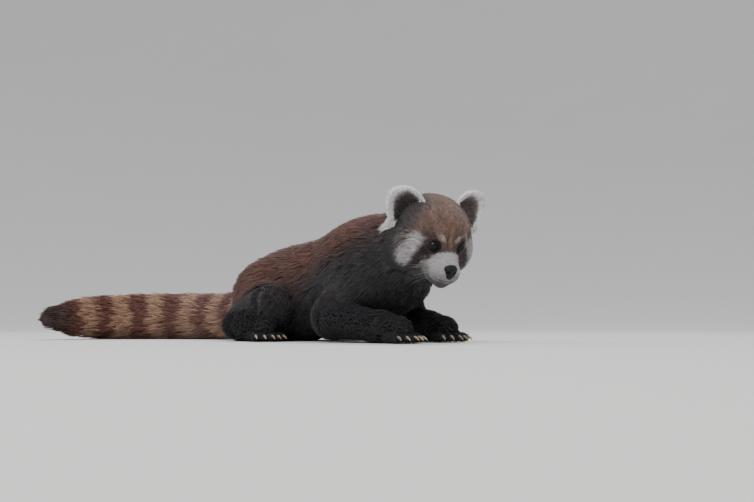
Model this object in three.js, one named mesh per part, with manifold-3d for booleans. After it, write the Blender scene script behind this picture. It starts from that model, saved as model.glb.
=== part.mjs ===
// A red panda, life size, lying propped on its elbows with its tail laid round to one side.
// Millimetres, +Z up. The spine runs along X with the head at +X; the animal's left is +Y.
// The finished group is moved so that its origin is at the middle of its base.
import * as THREE from 'three';
import { mergeVertices } from 'three/addons/utils/BufferGeometryUtils.js';
import Module from 'manifold-3d';

const wasm = await Module();
wasm.setup();

// Clearance kept between neighbouring pieces.
const gap = 0.3;

// How deep the coat stands over the flesh. The core fills the lower share of it, and locks the rest.
const coatDepth = { trunk: 24, tail: 28, cheek: 14 };
const coreShare = 0.5;
// Over this height the coat under the animal goes from pressed flat to its full depth.
const pressedBelow = 8;
const fullAbove = 40;

// One lock of the coat in each place: its size, how deep its root is sunk, and how it varies.
const lockSizes = {
  trunk: { length: 80, width: 37, thick: 9, sunk: 7, depth: coatDepth.trunk, spacing: 46, stray: 0.14 },
  tail: { length: 68, width: 27, thick: 8, sunk: 7, depth: coatDepth.tail, spacing: 43, stray: 0.06 },
  cheek: { length: 44, width: 17, thick: 6, sunk: 5, depth: coatDepth.cheek, stray: 0.1, proud: 4 },
  neck: { length: 66, width: 33, thick: 9, sunk: 7, depth: coatDepth.trunk, stray: 0.14 },
  ear: { count: 8, width: 14, thick: 2.6, sunk: 3.5, reach: 4.5, tuft: 24, droop: 4 },
};

// Locks stay clear of the floor, and none is rooted on the parts that press on it.
const lockFloorRoom = 5;
const rootsAbove = 26;
// A lock that would run into something else is tried at these shares of its length.
const lockShares = [1, 0.7, 0.5, 0.35];

// The back's outline, out to the coat: height of the top line at the withers, loins and rump.
const withersHeight = 196;
const rumpHeight = 146;
const chestHalfWidth = 84;
const hipHalfWidth = 94;

// The head hangs forward of the neck, turned to the right, with its nose down.
const headCentre = new THREE.Vector3(250, -18, 152);
const headTurn = THREE.MathUtils.degToRad(-17);
const headNod = THREE.MathUtils.degToRad(24);
const headTilt = THREE.MathUtils.degToRad(-3);

// The head's masses, in its own frame: x to the nose, y to the animal's left, z to the crown.
// Those that come in pairs are given for the left side.
const headMasses = {
  skull: { centre: [-6, 0, 12], radii: [58, 57, 52] },
  brow: { centre: [24, 0, 20], radii: [31, 38, 31] },
  muzzle: { from: [34, 0, -16], to: [63, 0, -24], radii: [25, 15], flatten: 1.12 },
  bridge: { from: [38, 0, 8], to: [67, 0, -15], radii: [15, 9], flatten: 1.2 },
  jaw: { from: [20, 0, -36], to: [55, 0, -43], radii: [18, 11], flatten: 1.15 },
  cheek: { centre: [2, 30, -12], radii: [40, 34, 37] },
  whiskerPad: { centre: [62, 8.5, -29], radii: [12.5, 11, 11] },
};
const headCrease = 12;

// Each eye looks forwards and a little outwards. It is found from a place inside the head.
const eyeRadius = 8.6;
const eyeBulge = 3.2;
const eyeAim = { inside: [14, 8, 4], gaze: [0.92, 0.36, 0.05] };
const lidRing = { inset: 0.9, thick: 2, wide: 1.06, tall: 0.94 };

// Each ear stands on a line from its inner to its outer foot, and is cupped towards its edges.
const earHeight = 36;
const earHalfWidth = 27;
const earThickness = 6;
const earSunk = 0.28;
const earMiddle = 16;
const earLockAngles = { from: -66, to: 106, longFrom: 60, stray: 5 };
const earCorners = { inner: [-4, 16, 57], outer: [-12, 72, 16], tip: [-9, 72, 74] };
const earCup = { depth: 12, back: 6, lessAtTip: 0.35, widest: 1.15 };

// The nose pad is two balls run together. The nostrils turn out and down in it like commas.
const noseMasses = {
  upper: { centre: [73, 0, -18.5], radii: [8, 10, 7] },
  lower: { centre: [73, 0, -26], radii: [7, 6.5, 6.5] },
};
const noseCrease = 5;
const nostril = { centre: [79, 5.2, -22.5], radii: [5, 2.3, 1.5], roll: 0.6, turn: 0.5 };

// The line of the mouth on the muzzle, from corner to corner under the nose.
const mouth = { front: 76, width: 44, back: 20, height: -36, corner: 3 };
const mouthCut = { wide: 1.5, narrow: 0.25, deep: 3.5, proud: 4 };
const lip = { radius: 2.2, reach: 0.96, sunk: 0.8, apart: 1.9 };

// The masses of the neck, chest, belly and haunches. The head's end of the neck is in the head's frame.
const trunkMasses = {
  nape: { from: [130, 0, 120], toHead: [-22, 0, 4], radii: [73, 51] },
  throat: { from: [130, 0, 95], toHead: [-6, 0, -20], radii: [52, 33] },
  chest: { centre: [92, 0, withersHeight - 78], radii: [88, chestHalfWidth - 8, 77] },
  belly: { from: [60, 0, 106], to: [-70, 0, 82], radii: [70, 78], flatten: 1.06 },
  rump: { centre: [-122, 0, (rumpHeight - 4) / 2], radii: [92, hipHalfWidth - 12, (rumpHeight + 4) / 2] },
  shoulder: { centre: [112, chestHalfWidth - 36, 106], radii: [48, 34, 52] },
  haunch: { centre: [-104, hipHalfWidth - 40, 72], radii: [72, 44, 56] },
};
const trunkCrease = 30;

// The joints of a foreleg and a hindleg on the left side, and how thick the leg is at each.
const foreleg = {
  shoulder: [110, 50, 84],
  elbow: [86, 70, 38],
  wrist: [166, 60, 23],
  knuckles: [206, 58, 20],
  upperRadii: [34, 32],
  lowerRadii: [30, 23, 21],
};
const hindleg = {
  thigh: [-92, 60, 58],
  knee: [-50, 80, 56],
  shank: [-118, 86, 36],
  heel: [-140, 92, 24],
  instep: [-92, 101, 22],
  knuckles: [-46, 106, 19],
  upperRadii: [38, 35],
  shankRadius: 30,
  lowerRadii: [23, 24, 21],
};
// How much further forwards each forepaw lies.
const reachRight = 18;
const reachLeft = -8;
const pawFlatten = 1.15;
const legCrease = 16;
const kneeCrease = 24;

// A paw has five toes, fanned across its front, with a hooked claw on each.
const toes = { length: 26, radius: 9.5, tipRadius: 8.3, lift: 1, dip: 1.5 };
const toeFan = { apart: 8.2, setBack: 8, turn: 0.13 };
const clawSize = { length: 13, radius: 2.6, narrow: 0.8, curl: 0.15, drop: 5.5, lift: 2, rooted: 4 };

// The tail leaves the rump, comes down to the floor and turns in an arc to the right.
const tailRoot = new THREE.Vector3(-190, 0, 70);
const tailStraight = 75;
const tailArcRadius = 185;
const tailArcSweep = THREE.MathUtils.degToRad(112);
const tailRestHeight = 38;
const tailWidths = [34, 40, 44, 45, 44, 41, 34];
const tailBeads = 24;
const tailFleshEnd = 0.93;
const tailBrush = { reach: 55, taper: 0.62 };
const tailCrease = 6;
const tailCuts = [0, 0.25, 0.5, 0.75, 1];

// The plane between neck and torso, and the share of the spine that it stands at.
const neckCut = { place: [150, 0, 130], normal: [1, 0, 0.25], share: 0.752 };

// The ruff on each cheek: where its rows start in the head, and the angles its locks stand at.
const ruff = { stations: [26, 10, -6], angles: [-8, 20, 47, 74], stagger: 13, stray: 4, origin: -6 };
const ruffLie = [-0.62, 0.35, -0.7];

const colours = {
  rust: 0x7a3a24,
  crown: 0x9a6243,
  dark: 0x2a2126,
  cream: 0xe6ddd4,
  ringPale: 0xb98a5e,
  nosePad: 0x1d1c20,
  eye: 0x1a100c,
};

const point = (x, y, z) => new THREE.Vector3(x, y, z);
const mix = (a, b, t) => a + (b - a) * t;
const clamp = THREE.MathUtils.clamp;

// A mirrored copy of a place for the animal's other side.
const onSide = (side, x, y, z) => point(x, side * y, z);

const place = ([x, y, z], side = 1) => onSide(side, x, y, z);

// A repeatable source of small variations.
function seeded(seed) {
  let state = seed;
  return () => {
    state = (Math.imul(state, 1664525) + 1013904223) >>> 0;
    return state / 4294967296;
  };
}

// Flesh is described by distances: each mass gives the distance of a point from its own surface.
function limb(from, to, fromRadius, toRadius, flatten = 1) {
  const along = to.clone().sub(from);
  const size = Math.max(along.lengthSq(), 1e-6);
  const offset = point(0, 0, 0);
  return (p) => {
    const t = clamp(offset.copy(p).sub(from).dot(along) / size, 0, 1);
    offset.addScaledVector(along, -t);
    offset.y /= flatten;
    return offset.length() - mix(fromRadius, toRadius, t);
  };
}

function ball(centre, rx, ry, rz) {
  const a = point(0, 0, 0);
  return (p) => {
    a.copy(p).sub(centre);
    const scaled = Math.hypot(a.x / rx, a.y / ry, a.z / rz);
    const slope = Math.hypot(a.x / (rx * rx), a.y / (ry * ry), a.z / (rz * rz));
    if (slope < 1e-9) return -Math.min(rx, ry, rz);
    return (scaled * (scaled - 1)) / slope;
  };
}

const ballOf = ({ centre, radii: [rx, ry, rz] }, side = 1, grow = 0) =>
  ball(place(centre, side), rx + grow, ry + grow, rz + grow);
const limbOf = ({ from, to, radii, flatten }) => limb(place(from), place(to), ...radii, flatten);

// Several masses run smoothly into one another over a given width of crease.
function flesh(masses, crease) {
  return (p) => {
    let d = Infinity;
    for (const mass of masses) {
      const other = mass(p);
      const near = Math.max(crease - Math.abs(d - other), 0) / crease;
      d = Math.min(d, other) - (near * near * crease) / 4;
    }
    return d;
  };
}

const raised = (field, by) => (p) => field(p) - by;

// A field described in the head's own frame, moved to where the head is.
function placed(field, matrix) {
  const inverse = matrix.clone().invert();
  const q = point(0, 0, 0);
  return (p) => field(q.copy(p).applyMatrix4(inverse));
}

// The core of a coat that is deepest on top and pressed thin where the animal lies on it.
const underCoat = (field, depth) => (p) =>
  field(p) + depth * coreShare * clamp((p.z - pressedBelow) / (fullAbove - pressedBelow), 0, 1);

function outwards(field, p) {
  const step = 0.4;
  const g = point(
    field(point(p.x + step, p.y, p.z)) - field(point(p.x - step, p.y, p.z)),
    field(point(p.x, p.y + step, p.z)) - field(point(p.x, p.y - step, p.z)),
    field(point(p.x, p.y, p.z + step)) - field(point(p.x, p.y, p.z - step)),
  );
  return g.normalize();
}

// Where a ray from inside leaves the flesh.
function surfaceAlong(field, origin, direction) {
  const p = origin.clone();
  for (let i = 0; i < 60; i++) {
    const d = field(p);
    if (d > -0.02) break;
    p.addScaledVector(direction, Math.max(-0.85 * d, 0.02));
  }
  return p;
}

// A geometry as a closed solid, with its faces turned outwards.
function solidOf(geometry) {
  const bare = geometry.clone();
  bare.deleteAttribute('normal');
  bare.deleteAttribute('uv');
  const merged = mergeVertices(bare, 1e-4);
  const numbers = {
    numProp: 3,
    vertProperties: new Float32Array(merged.attributes.position.array),
    triVerts: new Uint32Array(merged.index.array),
  };
  const made = new wasm.Manifold(new wasm.Mesh(numbers));
  if (made.volume() > 0) return made;
  numbers.triVerts.reverse();
  return new wasm.Manifold(new wasm.Mesh(numbers));
}

// Moves each vertex of a geometry to the place worked out from its old one.
function reshape(geometry, move) {
  const position = geometry.attributes.position;
  const p = point(0, 0, 0);
  for (let i = 0; i < position.count; i++) {
    p.fromBufferAttribute(position, i);
    const q = move(p);
    position.setXYZ(i, q.x, q.y, q.z);
  }
  return geometry;
}

// A closed skin over a field: rings of rays stand across a spine curve, and fans of rays close both ends.
function skinOver(field, spine, { rings, sides, fan = 3, up = point(0, 0, 1), from = 0, to = 1 }) {
  const total = rings + 2 * fan - 1;
  const frames = [];
  for (let k = 0; k < rings; k++) {
    const t = mix(from, to, rings > 1 ? k / (rings - 1) : 0);
    const tangent = spine.getTangentAt(t);
    const across = point(0, 0, 0).crossVectors(up, tangent).normalize();
    const above = point(0, 0, 0).crossVectors(tangent, across).normalize();
    frames.push({ origin: spine.getPointAt(t), tangent, across, above });
  }
  const sphere = new THREE.SphereGeometry(1, sides, total);
  return solidOf(
    reshape(sphere, (p) => {
      const polar = Math.acos(clamp(p.y, -1, 1));
      const ring = Math.round((polar / Math.PI) * total);
      const angle = Math.atan2(p.z, p.x);
      const k = clamp(ring - fan, 0, rings - 1);
      const frame = frames[k];
      let lean = 0;
      if (ring < fan) lean = -((fan - ring) / fan) * (Math.PI / 2);
      if (ring > total - fan) lean = ((ring - total + fan) / fan) * (Math.PI / 2);
      const spoke = point(0, 0, 0)
        .addScaledVector(frame.across, Math.cos(angle) * Math.cos(lean))
        .addScaledVector(frame.above, Math.sin(angle) * Math.cos(lean))
        .addScaledVector(frame.tangent, Math.sin(lean));
      return surfaceAlong(field, frame.origin, spoke.normalize());
    }),
  );
}

const curveOf = (...places) => new THREE.CatmullRomCurve3(places, false, 'centripetal');

// The head's own frame: x to the nose, y to the animal's left, z to the crown.
const headMatrix = new THREE.Matrix4()
  .makeTranslation(headCentre.x, headCentre.y, headCentre.z)
  .multiply(new THREE.Matrix4().makeRotationZ(headTurn))
  .multiply(new THREE.Matrix4().makeRotationY(headNod))
  .multiply(new THREE.Matrix4().makeRotationX(headTilt));
const inHead = (x, y, z) => point(x, y, z).applyMatrix4(headMatrix);
const headWay = (way, side = 1) => place(way, side).applyMatrix4(headMatrix).sub(headCentre);
const headUp = headWay([0, 0, 1]);

// The head's masses, with the cheeks' coat drawn in by a given depth.
function headFlesh(drawnIn) {
  const { skull, brow, muzzle, bridge, jaw, cheek, whiskerPad } = headMasses;
  const masses = [ballOf(skull), ballOf(brow), limbOf(muzzle), limbOf(bridge), limbOf(jaw)];
  for (const side of [-1, 1]) {
    masses.push(ballOf(cheek, side, -drawnIn));
    masses.push(ballOf(whiskerPad, side));
  }
  return placed(flesh(masses, headCrease), headMatrix);
}

// The neck, chest, belly and haunches are one run of flesh, parted later by a thin cut.
function trunkFlesh() {
  const { nape, throat, chest, belly, rump, shoulder, haunch } = trunkMasses;
  const neck = ({ from, toHead, radii }) => limb(place(from), inHead(...toHead), ...radii);
  const masses = [neck(nape), neck(throat)];
  masses.push(ballOf(chest), limbOf(belly), ballOf(rump));
  for (const side of [-1, 1]) masses.push(ballOf(shoulder, side), ballOf(haunch, side));
  return flesh(masses, trunkCrease);
}

function forelegFlesh(side, reach) {
  const shoulder = place(foreleg.shoulder, side);
  const elbow = place(foreleg.elbow, side);
  const wrist = place(foreleg.wrist, side).add(point(reach, 0, 0));
  const knuckles = place(foreleg.knuckles, side).add(point(reach, 0, 0));
  const [atElbow, atWrist, atKnuckles] = foreleg.lowerRadii;
  const forearm = limb(elbow, wrist, atElbow, atWrist);
  const hand = limb(wrist, knuckles, atWrist, atKnuckles, pawFlatten);
  return {
    upper: limb(shoulder, elbow, ...foreleg.upperRadii),
    upperSpine: curveOf(shoulder, elbow),
    lower: flesh([forearm, hand], legCrease),
    lowerSpine: curveOf(elbow, wrist, knuckles),
    knuckles,
    heading: knuckles.clone().sub(wrist).setZ(0).normalize(),
  };
}

function hindlegFlesh(side) {
  const thigh = place(hindleg.thigh, side);
  const knee = place(hindleg.knee, side);
  const shank = place(hindleg.shank, side);
  const heel = place(hindleg.heel, side);
  const instep = place(hindleg.instep, side);
  const knuckles = place(hindleg.knuckles, side);
  const [atHeel, atInstep, atKnuckles] = hindleg.lowerRadii;
  const upper = limb(thigh, knee, ...hindleg.upperRadii);
  const lower = limb(knee, shank, hindleg.shankRadius, hindleg.shankRadius);
  const heelPart = limb(heel, instep, atHeel, atInstep);
  const toePart = limb(instep, knuckles, atInstep, atKnuckles, pawFlatten);
  return {
    upper: flesh([upper, lower], kneeCrease),
    upperSpine: curveOf(thigh, knee),
    lower: flesh([heelPart, toePart], legCrease),
    lowerSpine: curveOf(heel, instep, knuckles),
    knuckles,
    heading: knuckles.clone().sub(instep).setZ(0).normalize(),
  };
}

// The tail's middle line: straight back and down, then an arc along the floor to the right.
function tailCurve() {
  const places = [tailRoot.clone()];
  const bend = point(tailRoot.x - tailStraight, tailRoot.y, tailRestHeight + 6);
  places.push(bend);
  const steps = 6;
  for (let i = 1; i <= steps; i++) {
    const a = (i / steps) * tailArcSweep;
    const x = bend.x - tailArcRadius * Math.sin(a);
    const y = bend.y - tailArcRadius * (1 - Math.cos(a));
    places.push(point(x, y, tailRestHeight));
  }
  return curveOf(...places);
}

function tailRadius(t) {
  const at = t * (tailWidths.length - 1);
  const i = Math.min(Math.floor(at), tailWidths.length - 2);
  return mix(tailWidths[i], tailWidths[i + 1], at - i);
}

// The tail as beads strung along its middle line. With the brush, its coat runs on past the end.
function tailFlesh(curve, withBrush) {
  const beads = [];
  for (let i = 0; i < tailBeads; i++) {
    const t = i / (tailBeads - 1);
    beads.push({ centre: curve.getPointAt(t * tailFleshEnd), radius: tailRadius(t) });
  }
  if (withBrush) {
    const last = beads[tailBeads - 1];
    const end = last.centre.clone().addScaledVector(curve.getTangentAt(1), tailBrush.reach);
    beads.push({ centre: end, radius: last.radius * tailBrush.taper });
  }
  const masses = [];
  for (let i = 0; i + 1 < beads.length; i++) {
    masses.push(limb(beads[i].centre, beads[i + 1].centre, beads[i].radius, beads[i + 1].radius));
  }
  return flesh(masses, tailCrease);
}

function claw(root, aim) {
  const cone = new THREE.ConeGeometry(1, 1, 4, 2);
  const across = point(-aim.y, aim.x, 0);
  return solidOf(
    reshape(cone, (p) => {
      const t = p.y + 0.5;
      const rise = p.z * clawSize.radius - clawSize.drop * t * t + clawSize.lift;
      return root
        .clone()
        .addScaledVector(aim, t * clawSize.length * (1 - clawSize.curl * t))
        .addScaledVector(across, p.x * clawSize.narrow * clawSize.radius)
        .add(point(0, 0, rise));
    }),
  );
}

// A paw's toes and their claws, fanned across the front of the foot.
function pawToes(knuckles, heading) {
  const across = point(-heading.y, heading.x, 0);
  const pieces = [];
  for (let i = -2; i <= 2; i++) {
    const outer = Math.abs(i) / 2;
    const root = knuckles
      .clone()
      .addScaledVector(across, i * toeFan.apart)
      .addScaledVector(heading, -toeFan.setBack * outer);
    root.z = toes.radius + toes.lift;
    const aim = heading.clone().addScaledVector(across, i * toeFan.turn).normalize();
    const tip = root.clone().addScaledVector(aim, toes.length);
    tip.z = toes.radius - toes.dip;
    const toe = limb(root, tip, toes.radius, toes.tipRadius);
    pieces.push(skinOver(toe, curveOf(root, tip), { rings: 2, sides: 6, fan: 2 }));
    pieces.push(claw(tip.clone().addScaledVector(aim, toes.radius - clawSize.rooted), aim));
  }
  return pieces;
}

// The ear is a cupped leaf: wide at its foot, round at its tip, its edges turned forwards.
function earFrame(side) {
  const inner = place(earCorners.inner, side);
  const outer = place(earCorners.outer, side);
  const tip = place(earCorners.tip, side);
  const foot = inner.clone().add(outer).multiplyScalar(0.5);
  const rise = tip.clone().sub(foot).normalize();
  const across = outer.clone().sub(inner);
  across.addScaledVector(rise, -across.dot(rise)).normalize();
  const facing = point(0, 0, 0).crossVectors(across, rise).normalize();
  if (facing.x < 0) facing.negate();
  return { foot, rise, across, facing };
}

const earRoundness = 2.6;
const earHalfWidthAt = (v) => earHalfWidth * Math.sqrt(Math.max(1 - Math.pow(v, earRoundness), 0));

// A place on the ear's cupped middle surface, given across the ear and up it.
function onEar({ foot, rise, across, facing }, a, b, off) {
  const sideways = Math.min(Math.abs(a) / earHalfWidth, earCup.widest);
  const deep = earCup.depth * (1 - (earCup.lessAtTip * b) / earHeight);
  const cup = deep * sideways * sideways - earCup.back;
  return foot
    .clone()
    .addScaledVector(rise, b)
    .addScaledVector(across, a)
    .addScaledVector(facing, cup + off);
}

function earLeaf(side, grow) {
  const frame = earFrame(side);
  const sheet = new THREE.BoxGeometry(2, 1, 1, 7, 5, 1);
  return solidOf(
    reshape(sheet, (p) => {
      const v = p.y + 0.5;
      const height = mix(-earSunk, 1, v) * earHeight;
      const half = Math.max(earHalfWidthAt(Math.max(height / earHeight, 0)), 1.2) + grow;
      const thick = (earThickness / 2 + grow) * Math.sqrt(1.06 - p.x * p.x * 0.9) * (1 - 0.35 * v);
      const lift = v > 0.999 ? grow : 0;
      return onEar(frame, p.x * half, height + lift, p.z * 2 * thick).applyMatrix4(headMatrix);
    }),
  );
}

// The ear's fringe: flat locks that leave its rim all round. A long tuft points out from its outer foot.
function earFringe(side, grow) {
  const frame = earFrame(side);
  const size = lockSizes.ear;
  const turned = new THREE.Matrix4().extractRotation(headMatrix);
  const random = seeded(side > 0 ? 41 : 43);
  const locks = [];
  for (let i = 0; i < size.count; i++) {
    const { from, to, longFrom, stray } = earLockAngles;
    const degrees = mix(from, to, i / (size.count - 1)) + stray * (random() - 0.5);
    const angle = THREE.MathUtils.degToRad(degrees);
    const aim = { a: Math.sin(angle), b: Math.cos(angle) };
    let rim = 6;
    const inside = (r) =>
      earMiddle + r * aim.b < earHeight &&
      Math.abs(r * aim.a) < earHalfWidthAt(Math.max((earMiddle + r * aim.b) / earHeight, 0));
    while (inside(rim)) rim += 0.5;
    const hang = Math.pow(clamp((degrees - longFrom) / (to - longFrom), 0, 1), 2);
    const reach = mix(size.reach, size.tuft, hang) * (0.85 + 0.3 * random());
    const steps = 3;
    const stations = [];
    for (let k = 0; k <= steps; k++) {
      const r = mix(rim - size.sunk, rim + reach, k / steps);
      const droop = -hang * size.droop * Math.pow(k / steps, 2);
      const at = onEar(frame, r * aim.a, earMiddle + r * aim.b + droop, 0).applyMatrix4(headMatrix);
      const along = point(0, 0, 0).addScaledVector(frame.across, aim.a).addScaledVector(frame.rise, aim.b);
      const across = point(0, 0, 0).addScaledVector(frame.across, aim.b).addScaledVector(frame.rise, -aim.a);
      stations.push({
        at,
        along: along.applyMatrix4(turned),
        across: across.applyMatrix4(turned),
        up: frame.facing.clone().applyMatrix4(turned),
      });
    }
    locks.push(lockSolid(stations, size, grow));
  }
  return locks;
}

// The eyes stand proud of the flesh by their bulge.
const eyeGaze = (side) => headWay(eyeAim.gaze, side).normalize();

function eyePlace(side) {
  const inside = place(eyeAim.inside, side).applyMatrix4(headMatrix);
  const front = surfaceAlong(fields.head, inside, eyeGaze(side));
  return front.addScaledVector(eyeGaze(side), eyeBulge - eyeRadius);
}

function eyeball(side, grow) {
  const sphere = new THREE.SphereGeometry(eyeRadius + grow, 12, 8);
  const c = eyePlace(side);
  return solidOf(sphere.translate(c.x, c.y, c.z));
}

function nosePad(grow) {
  const masses = [ballOf(noseMasses.upper, 1, grow), ballOf(noseMasses.lower, 1, grow)];
  const field = placed(flesh(masses, noseCrease), headMatrix);
  const spine = curveOf(inHead(70, 0, -21), inHead(75, 0, -21));
  return skinOver(field, spine, { rings: 2, sides: 12, fan: 3 });
}

function nostrils() {
  return [-1, 1].map((side) => {
    const hole = new THREE.SphereGeometry(1, 8, 5).scale(...nostril.radii);
    hole.applyMatrix4(new THREE.Matrix4().makeRotationX(side * -nostril.roll));
    hole.applyMatrix4(new THREE.Matrix4().makeRotationZ(side * nostril.turn));
    hole.translate(...place(nostril.centre, side));
    return solidOf(hole.applyMatrix4(headMatrix));
  });
}

// A ring of lid round each eye, a little flatter than it is wide.
function lid(side) {
  const ring = new THREE.TorusGeometry(eyeRadius - lidRing.inset, lidRing.thick, 4, 11);
  ring.scale(lidRing.wide, lidRing.tall, 1);
  const gaze = eyeGaze(side);
  const c = eyePlace(side).addScaledVector(gaze, eyeRadius - eyeBulge);
  const toHead = new THREE.Matrix4().lookAt(gaze, point(0, 0, 0), headUp);
  return solidOf(ring.applyMatrix4(toHead).translate(c.x, c.y, c.z));
}

// A place on the mouth's line, from -1 at its right corner to 1 at its left, and the way out there.
function mouthStation(u) {
  const inner = inHead(44, 0, mouth.height + 2);
  const aim = inHead(
    mouth.front - mouth.back * u * u,
    (mouth.width / 2) * u,
    mouth.height + mouth.corner * u * u,
  );
  const out = aim.sub(inner).normalize();
  return { at: surfaceAlong(fields.head, inner, out), out };
}

// The groove between the lips: a wedge that follows the mouth's line.
function mouthGroove() {
  const blade = new THREE.BoxGeometry(2, 1, 1, 9, 1, 1);
  return solidOf(
    reshape(blade, (p) => {
      const { at, out } = mouthStation(p.x);
      const [reach, open] = p.y > 0 ? [mouthCut.proud, mouthCut.wide] : [-mouthCut.deep, mouthCut.narrow];
      return at.addScaledVector(out, reach).addScaledVector(headUp, p.z * open);
    }),
  );
}

// The upper and lower lips: soft ridges on both sides of the groove, thinning to the corners.
function lips() {
  return [1, -1].map((above) => {
    const roll = new THREE.CylinderGeometry(1, 1, 2, 4, 9);
    return solidOf(
      reshape(roll, (p) => {
        const { at, out } = mouthStation(clamp(p.y, -1, 1) * lip.reach);
        const size = lip.radius * Math.sqrt(Math.max(1.05 - p.y * p.y, 0.05));
        return at
          .addScaledVector(out, p.x * size - lip.sunk)
          .addScaledVector(headUp, p.z * size + above * lip.apart);
      }),
    );
  });
}

const join = (solids) => wasm.Manifold.union(solids);

// Cuts can leave loose scraps or sealed hollows, some of which only part once the places are rounded.
function largestPiece(solid) {
  let piece = solid;
  for (let pass = 0; pass < 2; pass++) {
    const pieces = new wasm.Manifold(piece.getMesh()).decompose();
    pieces.sort((a, b) => b.volume() - a.volume());
    piece = pieces[0];
  }
  return piece;
}

// How a lock widens from its root and draws in to its tip, and how it thins.
const lockWidthAt = (t) => Math.pow(Math.max(1 - t, 0), 0.6) * (0.8 + 0.8 * t);
const lockThickAt = (t) => Math.pow(Math.max(1 - t, 0), 0.7);

// A flat lock with a low ridge along its back, drawn through the places that it passes.
function lockSolid(stations, size, grow) {
  const steps = stations.length - 1;
  const cone = new THREE.ConeGeometry(1, 1, 3, steps);
  const corner = Math.sin((2 * Math.PI) / 3);
  return solidOf(
    reshape(cone, (p) => {
      const t = p.y + 0.5;
      const { at, along, across, up } = stations[Math.round(t * steps)];
      if (t > 0.999) return at.clone().addScaledVector(along, 2 * grow);
      const width = (size.width / 2) * lockWidthAt(t) + grow;
      const thick = (size.thick / 2) * lockThickAt(t) + grow;
      return at
        .clone()
        .addScaledVector(across, (p.x / (1 - t) / corner) * width)
        .addScaledVector(up, (p.z / (1 - t)) * thick);
    }),
  );
}

// The places a lock passes: from its sunk root it follows the lie and rises to the outline at its tip.
function lockPath(field, root, lie, size, steps) {
  const p = root.clone();
  const stations = [];
  for (let i = 0; i <= steps; i++) {
    const t = i / steps;
    const height = -(size.depth * coreShare + size.sunk) * Math.pow(1 - t, 1.3);
    for (let settle = 0; settle < 3; settle++) {
      p.addScaledVector(outwards(field, p), height - field(p));
    }
    p.z = Math.max(p.z, lockFloorRoom);
    const up = outwards(field, p);
    const along = lie(p, up);
    along.addScaledVector(up, -along.dot(up)).normalize();
    const across = point(0, 0, 0).crossVectors(up, along).normalize();
    stations.push({ at: p.clone(), along, across, up });
    p.addScaledVector(along, size.length / steps);
  }
  return stations;
}

// Rows of locks across a run of flesh. Each row stands at a place along the spine and may lean back.
function lockRows({ field, core, spine, rows, angles, lie, size, seed, blocked, steps = 3 }) {
  const random = seeded(seed);
  const found = [];
  rows.forEach(({ at, lean = 0, step = angles.step }, rowNumber) => {
    const tangent = spine.getTangentAt(at);
    const across = point(0, 0, 0).crossVectors(point(0, 0, 1), tangent).normalize();
    const above = point(0, 0, 0).crossVectors(tangent, across).normalize();
    const stagger = rowNumber % 2 ? 0.5 : 0;
    const most = Math.ceil(angles.each / step);
    for (let j = -most; j <= most; j++) {
      const degrees = (j + stagger) * step + 4 * (random() - 0.5);
      const turn = size.stray * 2 * (random() - 0.5);
      const scale = 0.88 + 0.2 * random();
      if (Math.abs(degrees) > angles.each) continue;
      const a = THREE.MathUtils.degToRad(degrees);
      const spoke = point(0, 0, 0)
        .addScaledVector(above, Math.cos(a) * Math.cos(lean))
        .addScaledVector(across, Math.sin(a) * Math.cos(lean))
        .addScaledVector(tangent, -Math.sin(lean));
      const root = surfaceAlong(core, spine.getPointAt(at), spoke.normalize());
      if (root.z < rootsAbove) continue;
      const strayed = (p, up) => lie(p, up, at).applyAxisAngle(up, turn);
      for (const share of lockShares) {
        const cut = { ...size, length: size.length * scale * share, width: size.width * Math.sqrt(share) };
        const stations = lockPath(field, root, strayed, cut, steps);
        if (stations.slice(1).some((station) => blocked(station.at))) continue;
        found.push({ stations, size: cut, at });
        break;
      }
    }
  });
  return found;
}

const solidLocks = (found, grow) => found.map(({ stations, size }) => lockSolid(stations, size, grow));

// Everything below the floor, which the animal lies on in small flats at one level.
const floorBlock = solidOf(new THREE.BoxGeometry(2000, 2000, 200).translate(0, 0, -100));

const curveOfTail = tailCurve();
const fields = {
  head: headFlesh(0),
  trunk: trunkFlesh(),
  tail: tailFlesh(curveOfTail, false),
};
const cores = {
  head: headFlesh(coatDepth.cheek * coreShare),
  trunk: underCoat(fields.trunk, coatDepth.trunk),
  tail: underCoat(fields.tail, coatDepth.tail),
};

function headCore(grow) {
  const spine = curveOf(inHead(-30, 0, 6), inHead(20, 0, 0), inHead(66, 0, -20));
  return skinOver(raised(cores.head, grow), spine, { rings: 11, sides: 22, fan: 4 });
}

const trunkSpine = curveOf(
  point(-130, 0, 74),
  point(0, 0, 96),
  point(110, 0, 120),
  inHead(-16, 0, -4),
);

function trunkCore(grow) {
  return skinOver(raised(cores.trunk, grow), trunkSpine, { rings: 16, sides: 22, fan: 4 });
}

// A block that fills one side of a plane, set back from it by half the clearance.
function halfSpace(origin, normal, setBack) {
  const size = 1600;
  const block = new THREE.BoxGeometry(size, size, size).translate(size / 2 + setBack, 0, 0);
  const turn = new THREE.Quaternion().setFromUnitVectors(point(1, 0, 0), normal.clone().normalize());
  return solidOf(block.applyQuaternion(turn).translate(origin.x, origin.y, origin.z));
}

// A leg without its toes, as the neighbouring pieces keep clear of it.
function legCore(leg, grow) {
  const upper = skinOver(raised(leg.upper, grow), leg.upperSpine, { rings: 3, sides: 12, fan: 3 });
  const lower = skinOver(raised(leg.lower, grow), leg.lowerSpine, { rings: 5, sides: 12, fan: 3 });
  return join([upper, lower]);
}

function tailCore(grow) {
  const rings = { rings: 17, sides: 12, fan: 3, from: 0.02, to: 0.9 };
  return skinOver(raised(cores.tail, grow), curveOfTail, rings);
}

const legs = {
  foreleg_right: forelegFlesh(-1, reachRight),
  foreleg_left: forelegFlesh(1, reachLeft),
  hindleg_right: hindlegFlesh(-1),
  hindleg_left: hindlegFlesh(1),
};

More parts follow.
